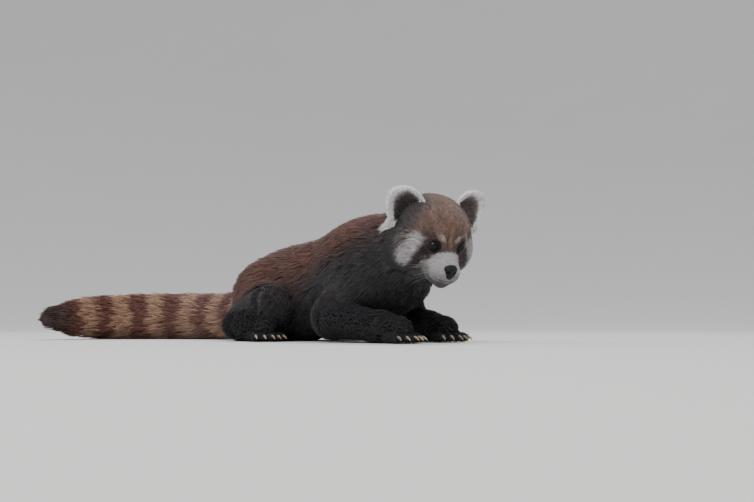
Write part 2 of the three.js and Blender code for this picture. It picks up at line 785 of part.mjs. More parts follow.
// Locks keep off the legs, the tail's root and the head, where those come out of the coat.
const legFields = Object.values(legs).flatMap(({ upper, lower }) => [upper, lower]);
const legRoom = 3;
const nearLegs = (p) => legFields.some((field) => field(p) < legRoom);

const rowShare = lockSizes.trunk.spacing / trunkSpine.getLength();

// The coat lies from the head back to the tail, and droops down the flanks.
function trunkLie(p, up) {
  return point(-0.95, 0, -0.16 - 0.35 * Math.abs(up.y));
}

// Rows of locks from the neck to the rump, then two that lean back over its end.
const torsoRows = [];
const firstRow = neckCut.share - 0.03;
for (let at = firstRow; at > 0; at -= rowShare) torsoRows.push({ at });
for (const lean of [28, 52]) torsoRows.push({ at: 0, lean: THREE.MathUtils.degToRad(lean) });
const torsoLocks = lockRows({
  field: fields.trunk,
  core: cores.trunk,
  spine: trunkSpine,
  rows: torsoRows,
  angles: { step: 30, each: 122 },
  lie: trunkLie,
  size: lockSizes.trunk,
  seed: 7,
  blocked: (p) => nearLegs(p) || fields.tail(p) < -coatDepth.tail * 0.3,
});

// The neck's two rows stand this many spacings in front of the plane.
const neckRows = [1.274, 0.588].map((row) => ({ at: neckCut.share + rowShare * row }));
const neckLocks = lockRows({
  field: fields.trunk,
  core: cores.trunk,
  spine: trunkSpine,
  rows: neckRows,
  angles: { step: 31, each: 160 },
  lie: trunkLie,
  size: lockSizes.neck,
  seed: 11,
  blocked: (p) => nearLegs(p) || cores.head(p) < 2,
});

// Rows of locks down the tail, then two at its end that lean on into the brush.
const tailRows = [];
const tailRowShare = lockSizes.tail.spacing / curveOfTail.getLength();
for (let at = 0.035; at < 0.86; at += tailRowShare) tailRows.push({ at });
for (const [lean, step] of [[-12, 46], [-48, 75]]) {
  tailRows.push({ at: 0.9, lean: THREE.MathUtils.degToRad(lean), step });
}
const tailLocks = lockRows({
  field: tailFlesh(curveOfTail, true),
  core: cores.tail,
  spine: curveOfTail,
  rows: tailRows,
  angles: { step: 46, each: 118 },
  lie: (p, up, at) => curveOfTail.getTangentAt(Math.min(at + 0.06, 1)),
  size: lockSizes.tail,
  seed: 19,
  blocked: (p) => fields.trunk(p) < 0,
});

// The ruff on each cheek points out, back and down from the side of the face.
function ruffLocks(side) {
  const random = seeded(side > 0 ? 23 : 29);
  const found = [];
  const size = lockSizes.cheek;
  const lieBack = headWay(ruffLie, side);
  for (const [row, x] of ruff.stations.entries()) {
    for (const degrees of ruff.angles) {
      const stray = ruff.stray * (random() - 0.5);
      const a = THREE.MathUtils.degToRad(degrees + ruff.stagger * (row % 2) + stray);
      const origin = inHead(x, 0, ruff.origin);
      const spoke = headWay([0, Math.cos(a), -Math.sin(a)], side);
      const root = surfaceAlong(cores.head, origin, spoke.normalize());
      const turn = size.stray * 2 * (random() - 0.5);
      const cut = { ...size, length: size.length * (0.85 + 0.3 * random()) };
      const lie = (p, up) => lieBack.clone().applyAxisAngle(up, turn);
      const stations = lockPath(raised(fields.head, size.proud), root, lie, cut, 3);
      if (stations.slice(2).every(({ at }) => cores.trunk(at) > 1)) found.push({ stations, size: cut });
    }
  }
  return found;
}

const solids = {};
const grown = {};
for (const [name, side] of [['eye_right', -1], ['eye_left', 1]]) {
  solids[name] = eyeball(side, 0);
  grown[name] = eyeball(side, gap);
}
solids.nose = nosePad(0).subtract(join(nostrils()));
grown.nose = nosePad(gap);
grown.headCore = headCore(gap);
for (const [name, side] of [['ear_right', -1], ['ear_left', 1]]) {
  solids[name] = join([earLeaf(side, 0), ...earFringe(side, 0)]).subtract(grown.headCore);
  grown[name] = join([earLeaf(side, gap), ...earFringe(side, gap)]);
}
grown.trunkCore = trunkCore(gap);
const ears = join([grown.ear_right, grown.ear_left]);
const cheekLocks = [...ruffLocks(-1), ...ruffLocks(1)];
const face = join([headCore(0), lid(-1), lid(1), ...lips()]);
const neckRegion = grown.trunkCore.subtract(headCore(0));
solids.head = face
  .add(join(solidLocks(cheekLocks, 0)).subtract(join([ears, neckRegion])))
  .subtract(join([grown.eye_right, grown.eye_left, grown.nose, mouthGroove()]));
grown.ruff = join(solidLocks(cheekLocks, gap));

const legSolids = {};
for (const [name, leg] of Object.entries(legs)) {
  const whole = join([legCore(leg, 0), ...pawToes(leg.knuckles, leg.heading)]);
  legSolids[name] = whole.subtract(grown.trunkCore);
  grown[name] = legCore(leg, gap);
}
Object.assign(solids, legSolids);
const grownLegs = join(Object.keys(legs).map((name) => grown[name]));

const neckPlane = { origin: place(neckCut.place), normal: place(neckCut.normal) };
const trunk = trunkCore(0);
const headSide = join([grown.headCore, ears]);
grown.neckLocks = join(solidLocks(neckLocks, gap));
solids.neck = trunk
  .intersect(halfSpace(neckPlane.origin, neckPlane.normal, gap / 2))
  .subtract(headSide)
  .add(
    join(solidLocks(neckLocks, 0))
      .subtract(join([headSide, grown.ruff, grownLegs]))
      .subtract(trunk.subtract(halfSpace(neckPlane.origin, neckPlane.normal, -gap))),
  );
solids.torso = trunk
  .subtract(halfSpace(neckPlane.origin, neckPlane.normal, -gap / 2))
  .subtract(grown.neckLocks)
  .add(join(solidLocks(torsoLocks, 0)).subtract(join([grown.neckLocks, grownLegs, tailCore(gap)])));

// The tail in lengths, each cut square across its middle line, with the locks rooted in each.
const tail = tailCore(0).subtract(grown.trunkCore);
const tailGrown = tailCore(gap);
const overTail = join([grown.trunkCore, ...solidLocks(torsoLocks, gap)]);
for (let i = 0; i + 1 < tailCuts.length; i++) {
  const [from, to] = [tailCuts[i], tailCuts[i + 1]];
  const rooted = tailLocks.filter(({ at }) => at >= from && at < to);
  const earlier = solidLocks(tailLocks.filter(({ at }) => at < from), gap);
  let piece = tail;
  const others = [overTail, ...earlier];
  for (const [end, way] of [[from, 1], [to, -1]]) {
    if (end === 0 || end === 1) continue;
    const origin = curveOfTail.getPointAt(end);
    const normal = curveOfTail.getTangentAt(end).multiplyScalar(way);
    piece = piece.intersect(halfSpace(origin, normal, gap / 2));
    others.push(tailGrown.intersect(halfSpace(origin, normal.negate(), gap / 2)));
  }
  const locks = join(solidLocks(rooted, 0)).subtract(join(others));
  solids[`tail_${i + 1}`] = piece.subtract(join([overTail, ...earlier])).add(locks);
}

const finish = {
  eye_right: colours.eye,
  eye_left: colours.eye,
  nose: colours.nosePad,
  head: colours.crown,
  ear_right: colours.cream,
  ear_left: colours.cream,
  torso: colours.rust,
  neck: colours.rust,
  tail_1: colours.rust,
  tail_2: colours.ringPale,
  tail_3: colours.rust,
  tail_4: colours.dark,
  foreleg_right: colours.dark,
  foreleg_left: colours.dark,
  hindleg_right: colours.dark,
  hindleg_left: colours.dark,
};

function geometryOf(solid) {
  const mesh = solid.getMesh();
  const places = new Float32Array(mesh.numVert * 3);
  for (let i = 0; i < mesh.numVert; i++) {
    for (let axis = 0; axis < 3; axis++) {
      places[3 * i + axis] = mesh.vertProperties[mesh.numProp * i + axis];
    }
  }
  const geometry = new THREE.BufferGeometry();
  geometry.setAttribute('position', new THREE.BufferAttribute(places, 3));
  geometry.setIndex(new THREE.BufferAttribute(new Uint32Array(mesh.triVerts), 1));
  geometry.computeVertexNormals();
  return geometry;
}

const panda = new THREE.Group();
const extent = new THREE.Box3();
for (const [name, colour] of Object.entries(finish)) {
  const onFloor = largestPiece(solids[name].subtract(floorBlock));
  const geometry = geometryOf(onFloor);
  const material = new THREE.MeshStandardMaterial({ color: colour, roughness: 0.9, metalness: 0 });
  const mesh = new THREE.Mesh(geometry, material);
  mesh.name = name;
  panda.add(mesh);
  geometry.computeBoundingBox();
  extent.union(geometry.boundingBox);
}
const middle = extent.getCenter(point(0, 0, 0));
panda.position.set(-middle.x, -middle.y, -extent.min.z);

export default panda;
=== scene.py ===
import math
import bpy
import bmesh
import numpy as np
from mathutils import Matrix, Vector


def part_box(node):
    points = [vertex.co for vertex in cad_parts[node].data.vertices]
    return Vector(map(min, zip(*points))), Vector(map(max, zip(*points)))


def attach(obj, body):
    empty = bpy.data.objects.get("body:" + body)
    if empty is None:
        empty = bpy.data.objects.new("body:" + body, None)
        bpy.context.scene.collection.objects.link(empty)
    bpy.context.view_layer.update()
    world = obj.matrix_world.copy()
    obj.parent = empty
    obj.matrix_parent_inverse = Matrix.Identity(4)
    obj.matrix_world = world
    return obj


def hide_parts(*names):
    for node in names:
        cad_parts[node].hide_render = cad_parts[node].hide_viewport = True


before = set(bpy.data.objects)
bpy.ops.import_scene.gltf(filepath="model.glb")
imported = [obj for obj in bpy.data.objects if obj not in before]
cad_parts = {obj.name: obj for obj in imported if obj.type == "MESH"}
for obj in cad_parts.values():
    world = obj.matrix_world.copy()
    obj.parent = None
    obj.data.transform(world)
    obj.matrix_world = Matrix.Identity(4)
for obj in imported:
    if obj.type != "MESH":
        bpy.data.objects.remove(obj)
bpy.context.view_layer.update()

import openvdb
from mathutils import Matrix, Vector, kdtree

# A red panda lying propped on its elbows, ringed tail laid round beside it.
# Flesh is a field of distances in metres; one skin is drawn from it, and tufts of fur grow on that.


def mm(*sizes):
    return np.array(sizes, np.float32) / 1000


def smooth(low, high, x):
    t = np.clip((x - low) / (high - low), 0, 1)
    return t * t * (3 - 2 * t)


def unit(v):
    return v / np.maximum(np.linalg.norm(v, axis=-1, keepdims=True), 1e-9)


def linear(red, green, blue):
    # a colour as seen on a screen, 0 to 255, as the light it gives back
    c = np.array([red, green, blue], float) / 255
    return np.where(c < 0.04045, c / 12.92, ((c + 0.055) / 1.055) ** 2.4).astype(np.float32)


def besideLine(p, a, b, low=0.0, high=1.0):
    # share of the way from a to b, and the distance from the line
    along = b - a
    t = np.clip((p - a) @ along / (along @ along), low, high)
    return t, np.linalg.norm(p - a - t[:, None] * along, axis=1)


# Pose of the body, the same as the solids have before they are centred

pose = {
    "withers": 196,         # height of the back over the shoulders
    "rump": 146,
    "chestHalfWidth": 84,
    "hipHalfWidth": 94,
    "headCentre": mm(250, -18, 152),
    "headTurn": -17,        # degrees, to its right
    "headNod": 24,
    "headTilt": -3,
    "reachRight": 18,       # how much further the right forepaw lies
    "reachLeft": -8,
}


def headTurned():
    turn = Matrix.Rotation(math.radians(pose["headTurn"]), 3, "Z")
    nod = Matrix.Rotation(math.radians(pose["headNod"]), 3, "Y")
    tilt = Matrix.Rotation(math.radians(pose["headTilt"]), 3, "X")
    return np.array(turn @ nod @ tilt, np.float32)


headAxes = headTurned()


def fromHead(x, y, z):
    return pose["headCentre"] + headAxes @ mm(x, y, z)


def toHead(points):
    # in millimetres: x to the nose, y to its left, z to the crown
    return (points - pose["headCentre"]) @ headAxes * 1000


def headWay(x, y, z):
    return headAxes @ np.array([x, y, z], np.float32)


# Masses of flesh

def limb(start, end, startRadius, endRadius, flat=1.0):
    start = np.asarray(start, np.float32)
    along = np.asarray(end, np.float32) - start
    size = float(along @ along)
    r0, r1 = startRadius / 1000, endRadius / 1000

    def distance(p):
        off = p - start
        t = np.clip(off @ along / size, 0, 1)
        off = off - t[:, None] * along
        if flat != 1.0:
            off[:, 1] /= flat
        return np.sqrt((off * off).sum(1)) - (r0 + (r1 - r0) * t)
    return distance


def ball(centre, rx, ry, rz):
    centre = np.asarray(centre, np.float32)
    radii = mm(rx, ry, rz)

    def distance(p):
        a = (p - centre) / radii
        scaled = np.sqrt((a * a).sum(1))
        b = a / radii
        slope = np.sqrt((b * b).sum(1)) + 1e-6
        return scaled * (scaled - 1) / slope
    return distance


def blend(distances, crease):
    crease /= 1000
    d = distances[0]
    for other in distances[1:]:
        near = np.maximum(crease - np.abs(d - other), 0) / crease
        d = np.minimum(d, other) - near * near * crease / 4
    return d


def flesh(masses, crease):
    return lambda p: blend([mass(p) for mass in masses], crease)


farAway = 0.2


def within(low, high, field):
    # works the field out only where it matters
    low, high = mm(*low), mm(*high)

    def distance(p):
        d = np.full(len(p), farAway, np.float32)
        inside = ((p > low) & (p < high)).all(1)
        if inside.any():
            d[inside] = field(p[inside])
        return d
    return distance


def headMasses():
    masses = [
        ball(mm(-6, 0, 12), 58, 57, 52),                              # skull
        ball(mm(24, 0, 20), 31, 38, 31),                              # brow
        limb(mm(34, 0, -16), mm(63, 0, -24), 25, 15, 1.12),           # muzzle
        limb(mm(38, 0, 8), mm(67, 0, -15), 15, 9, 1.2),               # bridge
        limb(mm(20, 0, -36), mm(55, 0, -43), 18, 11, 1.15),           # lower jaw
    ]
    for side in (-1, 1):
        masses.append(ball(mm(2, side * 30, -12), 40, 34, 37))        # cheek
        masses.append(ball(mm(62, side * 8.5, -29), 12.5, 11, 11))    # whisker pad
    local = flesh(masses, 12)
    return lambda p: local(toHead(p) / 1000)


def trunkMasses():
    hip = (pose["rump"] + 4) / 2
    masses = [
        limb(mm(130, 0, 120), fromHead(-22, 0, 4), 73, 51),
        limb(mm(130, 0, 95), fromHead(-6, 0, -20), 52, 33),
        ball(mm(92, 0, pose["withers"] - 78), 88, pose["chestHalfWidth"] - 8, 77),
        limb(mm(60, 0, 106), mm(-70, 0, 82), 70, 78, 1.06),
        ball(mm(-122, 0, pose["rump"] - hip), 92, pose["hipHalfWidth"] - 12, hip),
    ]
    for side in (-1, 1):
        masses.append(ball(mm(112, side * (pose["chestHalfWidth"] - 36), 106), 48, 34, 52))
        masses.append(ball(mm(-104, side * (pose["hipHalfWidth"] - 40), 72), 72, 44, 56))
    return flesh(masses, 30)


legSizes = {
    "fore": {"upper": [(110, 50, 84), (86, 70, 38)], "upperRadii": [34, 32],
             "lower": [(86, 70, 38), (166, 60, 23), (206, 58, 20)], "lowerRadii": [30, 23, 21]},
    "hind": {"upper": [(-92, 60, 58), (-50, 80, 56), (-118, 86, 36)], "upperRadii": [38, 35, 30],
             "lower": [(-140, 92, 24), (-92, 101, 22), (-46, 106, 19)], "lowerRadii": [23, 24, 21]},
    "crease": 16,
}
paw = {"toeLength": 26, "toeRadius": 9.5, "toeApart": 8.2, "toeStep": 4, "fan": 0.13, "claw": 13,
       "clawRadius": 2.4}


def legPlan(side, reach, kind):
    sizes = legSizes[kind]
    upper = [mm(x, side * y, z) for x, y, z in sizes["upper"]]
    lower = [mm(x + reach * (i > 0), side * y, z) for i, (x, y, z) in enumerate(sizes["lower"])]
    heading = lower[2] - lower[1]
    heading[2] = 0
    heading = unit(heading)
    across = np.array([-heading[1], heading[0], 0], np.float32)
    toes = []
    for i in range(-2, 3):
        root = lower[2] + across * i * mm(paw["toeApart"]) - heading * mm(paw["toeStep"] * abs(i))
        root[2] = mm(paw["toeRadius"] + 1)[0]
        aim = unit(heading + across * i * paw["fan"])
        tip = root + aim * mm(paw["toeLength"])
        tip[2] = mm(paw["toeRadius"] - 1.5)[0]
        toes.append((root, tip, aim))
    return {**sizes, "upper": upper, "lower": lower, "toes": toes, "hind": kind == "hind"}


def legMasses(plan):
    masses = []
    for part in ("upper", "lower"):
        places, radii = plan[part], plan[part + "Radii"]
        masses += [limb(places[i], places[i + 1], radii[i], radii[i + 1]) for i in range(len(places) - 1)]
    return flesh(masses, legSizes["crease"])


def toeMasses(plan):
    radius = paw["toeRadius"]
    return flesh([limb(root, tip, radius, radius - 1.2) for root, tip, aim in plan["toes"]], 3)


legs = [legPlan(-1, pose["reachRight"], "fore"), legPlan(1, pose["reachLeft"], "fore"),
        legPlan(-1, 0, "hind"), legPlan(1, 0, "hind")]

tail = {
    "root": mm(-190, 0, 70),
    "straight": 75,
    "arcRadius": 185,
    "arcSweep": 112,
    "restHeight": 38,
    "radii": [34, 40, 44, 45, 44, 41, 34],
    "brush": 55,          # how far the coat runs on past the tail's end
    "end": 0.93,
}


def smoothCurve(places, count):
    # a rounded line through the places, in equal steps
    places = [np.asarray(p, float) for p in places]
    ends = [2 * places[0] - places[1]] + places + [2 * places[-1] - places[-2]]
    line = []
    for a, b, c, d in zip(ends, ends[1:], ends[2:], ends[3:]):
        t = [0.0]
        for u, v in ((a, b), (b, c), (c, d)):
            t.append(t[-1] + math.sqrt(np.linalg.norm(v - u)))
        for s in np.linspace(t[1], t[2], 24, endpoint=False):
            a1 = a + (b - a) * (s - t[0]) / (t[1] - t[0])
            a2 = b + (c - b) * (s - t[1]) / (t[2] - t[1])
            a3 = c + (d - c) * (s - t[2]) / (t[3] - t[2])
            b1 = a1 + (a2 - a1) * (s - t[0]) / (t[2] - t[0])
            b2 = a2 + (a3 - a2) * (s - t[1]) / (t[3] - t[1])
            line.append(b1 + (b2 - b1) * (s - t[1]) / (t[2] - t[1]))
    line = np.array(line + [places[-1]])
    gone = np.concatenate([[0], np.cumsum(np.linalg.norm(np.diff(line, axis=0), axis=1))])
    even = np.linspace(0, gone[-1], count)
    return np.stack([np.interp(even, gone, line[:, k]) for k in range(3)], 1).astype(np.float32)


def tailLine(count):
    bend = tail["root"] + mm(-tail["straight"], 0, 0)
    bend[2] = mm(tail["restHeight"] + 6)[0]
    places = [tail["root"], bend]
    for i in range(1, 7):
        a = math.radians(tail["arcSweep"]) * i / 6
        r = tail["arcRadius"] / 1000
        places.append(np.array([bend[0] - r * math.sin(a), bend[1] - r * (1 - math.cos(a)),
                                tail["restHeight"] / 1000]))
    return smoothCurve(places, count)


tailBeads = tailLine(25)
tailWays = unit(np.gradient(tailBeads, axis=0))


def tailMasses(slimmer, brush):
    # slimmer: millimetres drawn in from the coat's outline
    share = np.linspace(0, 1, len(tailBeads))
    radii = np.interp(share / tail["end"], np.linspace(0, 1, 7), tail["radii"]) - slimmer
    keep = share <= tail["end"] + 0.01
    places, radii = list(tailBeads[keep]), list(radii[keep])
    if brush:
        places.append(places[-1] + tailWays[-1] * mm(tail["brush"]))
        radii.append(radii[-1] * 0.62)
    else:
        places.append(places[-1] + tailWays[-1] * mm(tail["brush"]) * 0.5)
        radii.append(3.0)
    return flesh([limb(places[i], places[i + 1], radii[i], radii[i + 1]) for i in range(len(places) - 1)], 6)


room = {      # the box that each part keeps to, lowest and highest corner
    "head": ((120, -130, 20), (360, 110, 270)),
    "trunk": ((-260, -140, -40), (340, 140, 240)),
    "tail": ((-520, -330, -40), (-120, 80, 140)),
    "legs": [((20, -150, -20), (290, 10, 150)), ((20, -10, -20), (290, 150, 150)),
             ((-220, -180, -20), (40, 0, 150)), ((-220, 0, -20), (40, 180, 150))],
}
outline = {
    "head": within(*room["head"], headMasses()),
    "trunk": within(*room["trunk"], trunkMasses()),
    "tail": within(*room["tail"], tailMasses(0, True)),
}
legFields = [legMasses(plan) for plan in legs]
toeFields = [toeMasses(plan) for plan in legs]
print("flesh planned")


# Coat: how deep it stands on each part, in millimetres

coat = {
    "head": 4.5,
    "muzzle": 1.0,
    "cheek": 10.0,
    "trunk": 22.0,
    "belly": 3.0,       # pressed by the floor
    "tail": 27.0,
    "leg": 5.0,
    "toe": 2.2,
}


def headDepth(p):
    q = toHead(p)
    cheek = smooth(24, 48, np.abs(q[:, 1])) * smooth(34, 14, q[:, 0]) * smooth(26, -4, q[:, 2])
    face = smooth(28, 56, q[:, 0])
    deep = coat["head"] + (coat["cheek"] - coat["head"]) * cheek
    return (deep + (coat["muzzle"] - deep) * face) / 1000


def pressed(p, deep, shallow):
    return (shallow + (deep - shallow) * smooth(0.004, 0.05, p[:, 2])) / 1000


tailSkin = within(*room["tail"], tailMasses(coat["tail"], False))


def legWith(i, drawnIn, toesIn):
    return lambda p: blend([legFields[i](p) + drawnIn / 1000, toeFields[i](p) + toesIn / 1000], 6)


legSkins = [within(*box, legWith(i, coat["leg"], coat["toe"])) for i, box in enumerate(room["legs"])]
legOutlines = [within(*box, legWith(i, 0, 0)) for i, box in enumerate(room["legs"])]


def skinField(p):
    parts = [
        outline["trunk"](p) + pressed(p, coat["trunk"], coat["belly"]),
        outline["head"](p) + headDepth(p),
        tailSkin(p),
    ]
    parts += [leg(p) for leg in legSkins]
    return blend(parts, 14)


def outlineField(p):
    parts = [outline["trunk"](p), outline["head"](p), outline["tail"](p)]
    parts += [leg(p) for leg in legOutlines]
    return blend(parts, 10)


def slope(field, p, step=0.0008):
    # the way out of the flesh, from four samples around each point
    corners = np.array([[1, -1, -1], [-1, -1, 1], [-1, 1, -1], [1, 1, 1]], np.float32)
    g = sum(c * field(p + c * step)[:, None] for c in corners)
    return unit(g)


def settle(field, p, rounds):
    # points brought onto the surface
    for _ in range(rounds):
        p = p - slope(field, p) * field(p)[:, None]
    return p


# Where the solids stand: the eyes give the shift from the plan to the frame

eye = {"radius": 8.6, "bulge": 3.2, "gaze": (0.92, 0.36, 0.05), "inside": (14, 8, 4)}


def eyeOf(side):
    gaze = unit(headWay(eye["gaze"][0], side * eye["gaze"][1], eye["gaze"][2]))
    p = fromHead(eye["inside"][0], side * eye["inside"][1], eye["inside"][2])[None]
    for _ in range(80):
        d = outline["head"](p)
        p = p + gaze * np.maximum(-0.85 * d, 0)[:, None]
    centre = p[0] + gaze * mm(eye["bulge"] - eye["radius"])
    return centre, gaze


eyes = {side: eyeOf(side) for side in (-1, 1)}


def shiftToFrame():
    moves = []
    for side, node in ((-1, "eye_right"), (1, "eye_left")):
        low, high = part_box(node)
        moves.append((np.array(low) + np.array(high)) / 2 - eyes[side][0])
    moves = np.array(moves)
    print("shift to frame", moves.mean(0), "spread", np.abs(moves[0] - moves[1]).max())
    shift = moves.mean(0)
    shift[2] = 0
    return shift.astype(np.float32)


shift = shiftToFrame()


# Making meshes from arrays

def meshPiece(name, points, faces, material):
    mesh = bpy.data.meshes.new(name)
    mesh.vertices.add(len(points))
    mesh.vertices.foreach_set("co", (points + shift).astype(np.float32).ravel())
    corners = faces.shape[1]
    mesh.loops.add(faces.size)
    mesh.loops.foreach_set("vertex_index", faces.astype(np.int32).ravel())
    mesh.polygons.add(len(faces))
    mesh.polygons.foreach_set("loop_start", np.arange(len(faces), dtype=np.int32) * corners)
    mesh.update(calc_edges=True)
    mesh.polygons.foreach_set("use_smooth", np.ones(len(faces), bool))
    piece = bpy.data.objects.new(name, mesh)
    bpy.context.scene.collection.objects.link(piece)
    mesh.materials.append(material)
    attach(piece, "root")
    return piece


def paint(piece, colours):
    rgba = np.ones((len(colours), 4), np.float32)
    rgba[:, :3] = colours
    layer = piece.data.color_attributes.new("coatColour", "FLOAT_COLOR", "POINT")
    layer.data.foreach_set("color", rgba.ravel())


def drawField(field, low, high, step, block=4):
    # a closed quad mesh of the surface where the field is zero, worked out only in the blocks it may cross
    low, high, step = mm(*low), mm(*high), step / 1000
    blocks = np.ceil((high - low) / (step * block)).astype(int)
    corners = np.stack(np.meshgrid(*[np.arange(n) for n in blocks], indexing="ij"), -1).reshape(-1, 3)
    middles = (low + (corners + 0.5 - 0.5 / block) * step * block).astype(np.float32)
    apart = field(middles)
    values = np.repeat(np.repeat(np.repeat(apart.reshape(blocks), block, 0), block, 1), block, 2)
    inner = np.stack(np.meshgrid(*[np.arange(block)] * 3, indexing="ij"), -1).reshape(-1, 3)
    near = corners[np.abs(apart) < step * block * 2]
    places = (near[:, None] * block + inner[None]).reshape(-1, 3)
    found = field((low + places * step).astype(np.float32))
    values[places[:, 0], places[:, 1], places[:, 2]] = found
    grid = openvdb.FloatGrid(1.0)
    grid.copyFromArray(np.ascontiguousarray(values, np.float32))
    points, quads = grid.convertToQuads(0.0)
    return (low + points * step).astype(np.float32), quads.astype(np.int64)


print("helpers ready")


# Markings, worked out from places on the body, for skin and fur alike

hue = {
    "rust": (104, 65, 54),
    "rustDark": (65, 43, 43),
    "crown": (115, 87, 75),
    "ochre": (146, 118, 100),
    "brow": (176, 164, 158),
    "black": (38, 35, 40),
    "throat": (32, 32, 38),
    "white": (212, 208, 210),
    "chinShade": (98, 94, 100),
    "tear": (58, 44, 43),
    "temple": (61, 51, 52),
    "cheekPaleAndLight": (190, 178, 168),
    "ringPale": (168, 132, 108),
    "ringDark": (108, 66, 54),
    "tailTip": (66, 46, 42),
    "earBack": (92, 66, 58),
    "earInside": (62, 54, 53),
    "earWhite": (240, 236, 238),
    "earGrey": (138, 131, 131),
    "bareSkin": (32, 28, 30),
}
tint = {name: linear(*rgb) for name, rgb in hue.items()}


def mixed(a, b, share):
    return a + (b - a) * share[:, None]


def ripple(p, size, seed):
    # a smooth wandering value, about -1 to 1, that changes over this many millimetres
    rng = np.random.default_rng(seed)
    total = np.zeros(len(p), np.float32)
    for _ in range(7):
        way = unit(rng.normal(size=3)) * rng.uniform(0.7, 1.5) * 2 * math.pi / (size / 1000)
        total += np.sin(p @ way.astype(np.float32) + rng.uniform(0, 2 * math.pi))
    return total / 3.2


def strip(q, start, end, startWidth, endWidth, soft=2.5):
    t, away = besideLine(q, np.array(start, np.float32), np.array(end, np.float32))
    half = startWidth + (endWidth - startWidth) * t
    return smooth(half + soft, half - soft, away)


# Places on the head in millimetres: forwards, out to the side, up. Each strip has a width at either end.
faceMarks = {
    "muzzleHeights": [-50, -45, -39, -30, -21, -16, -10, -5, -1, 2, 7],
    "muzzleEdge": [31, 33, 36, 41, 44.5, 46.5, 49, 53, 58, 63, 80],         # how far forward its white begins
    "crownHeights": [0, 12, 20, 28, 35, 44, 52, 60],
    "crownEdge": [34, 42, 47, 47, 44.6, 38.3, 31.5, 20],        # how far out its brown reaches
    "patch": [((35, 42, 9), (30, 49, -6), 9.5, 12.5, 3.5), ((30, 49, -6), (25, 51, -21), 12.5, 12.5, 3.5),
              ((25, 51, -21), (20, 52, -31), 12.5, 7, 3.5), ((36, 40, 12), (42, 35, 14), 6, 2, 3)],
    "farCheekLight": ((43, 35, 9), (48, 26, 25), 4.5, 3, 3),
    "cheekTop": ((30, 48, 12), (10, 60, 4), 7, 7, 8),
    "tear": [((48, 26, 2), (43.5, 34, -13), 6, 7), ((43.5, 34, -13), (37, 35, -29), 7, 7)],
    "brow": [((50, 22, 26), (54, 15, 21), 0.8, 3.4, 2), ((54, 15, 21), (57, 9, 16), 3.4, 2, 2)],
}


def strips(m, name):
    return np.maximum.reduce([strip(m, *one) for one in faceMarks[name]])


def headMarks(p):
    p = settle(outline["head"], p, rounds=2)
    q = toHead(p)
    q = q + np.stack([ripple(p, 15, 3), ripple(p, 13, 4), ripple(p, 16, 5)], 1) * 1.1
    m = np.stack([q[:, 0], np.abs(q[:, 1]), q[:, 2]], 1)
    x, s, z = m[:, 0], m[:, 1], m[:, 2]
    locks = ripple(q * np.array([0.5, 1, 0.5]) / 1000, 6, 6)
    mottled = 1 + 0.28 * locks + 0.15 * ripple(p, 21, 7)
    streaks = 0.5 + 0.5 * ripple(q * np.array([0.4, 0.7, 1]) / 1000, 4.5, 9)

    # crown, with rust behind it, dark temples, and a dark and a pale line down the bridge
    c = np.tile(tint["crown"], (len(p), 1))
    c = mixed(c, tint["rust"], smooth(0, -40, x))
    offCrown = s - np.interp(z, faceMarks["crownHeights"], faceMarks["crownEdge"]) + 3 * locks
    temple = tint["temple"] * (1 - 0.35 * smooth(12, -12, x))[:, None]
    c = mixed(c, temple, smooth(-9, 5, offCrown) * smooth(-60, -25, x) * smooth(48, 34, x))
    c = mixed(c, tint["rustDark"], 0.5 * smooth(10, 4, s) * smooth(46, 54, x) * smooth(34, 24, z))
    c = mixed(c, tint["ochre"], 0.6 * smooth(3.4, 1.6, s) * smooth(46, 55, x) * smooth(40, 26, z))
    c = c * mottled[:, None]

    # dark round the eyes, then the white patch of the cheek and the dark stripe down from the eye
    shadow = smooth(30, 20, z) * smooth(44, 32, s) * smooth(34, 44, x) * smooth(9, 14, s)
    c = mixed(c, tint["tear"], shadow * 0.6)
    c = mixed(c, tint["tear"], smooth(10, -4, z) * smooth(16, 28, x))
    # painted light: the far cheek is painted paler, as where light falls on it
    c = mixed(c, tint["cheekPaleAndLight"], 0.8 * strip(q, *faceMarks["farCheekLight"]))        # left side only
    c = mixed(c, tint["cheekPaleAndLight"], 0.65 * strip(m, *faceMarks["cheekTop"]) * streaks)
    dim = 0.06 * smooth(-14, 10, z) + 0.36 * smooth(47, 60, s) * smooth(-22, 4, z)
    patchColour = tint["white"] * (0.93 - dim)[:, None]
    c = mixed(c, patchColour, strips(m, "patch") * (0.64 + 0.36 * streaks))
    c = mixed(c, tint["tear"], strips(m, "tear"))

    # muzzle, brows, chin and throat
    # painted shade: the muzzle is darker low down, towards the mouth
    muzzle = tint["white"] * (0.9 - 0.3 * smooth(-20, -30, z) - 0.16 * streaks)[:, None]
    offMuzzle = x - np.interp(z, faceMarks["muzzleHeights"], faceMarks["muzzleEdge"])
    offMuzzle = offMuzzle + 1.8 * locks - 0.12 * np.minimum(s - 9, 0)
    c = mixed(c, muzzle, smooth(-2.6, 2.6, offMuzzle))
    c = mixed(c, tint["brow"], strips(m, "brow"))
    # painted shade: the chin under the mouth is grey
    c = mixed(c, tint["chinShade"], smooth(-37, -41, z) * smooth(34, 42, x))
    under = smooth(-33, -39, z) * smooth(36, 30, x)
    behind = smooth(16, 4, x + 0.45 * (z + 30)) * smooth(2, -20, z)
    return mixed(c, tint["throat"], np.maximum(under, behind))


backEdge = {     # height of the line between the rust back and the black belly
    "x": [-0.22, -0.08, 0.04, 0.12, 0.2, 0.26],
    "z": [0.052, 0.066, 0.1, 0.142, 0.17, 0.18],
    "soft": 0.032,
}


def trunkMarks(p):
    edge = np.interp(p[:, 0], backEdge["x"], backEdge["z"]) + 0.008 * ripple(p, 60, 11)
    up = smooth(edge - backEdge["soft"], edge + backEdge["soft"], p[:, 2])
    c = mixed(np.tile(tint["black"], (len(p), 1)), tint["rustDark"], smooth(0, 0.5, up))
    return mixed(c, tint["rust"], smooth(0.45, 1, up))


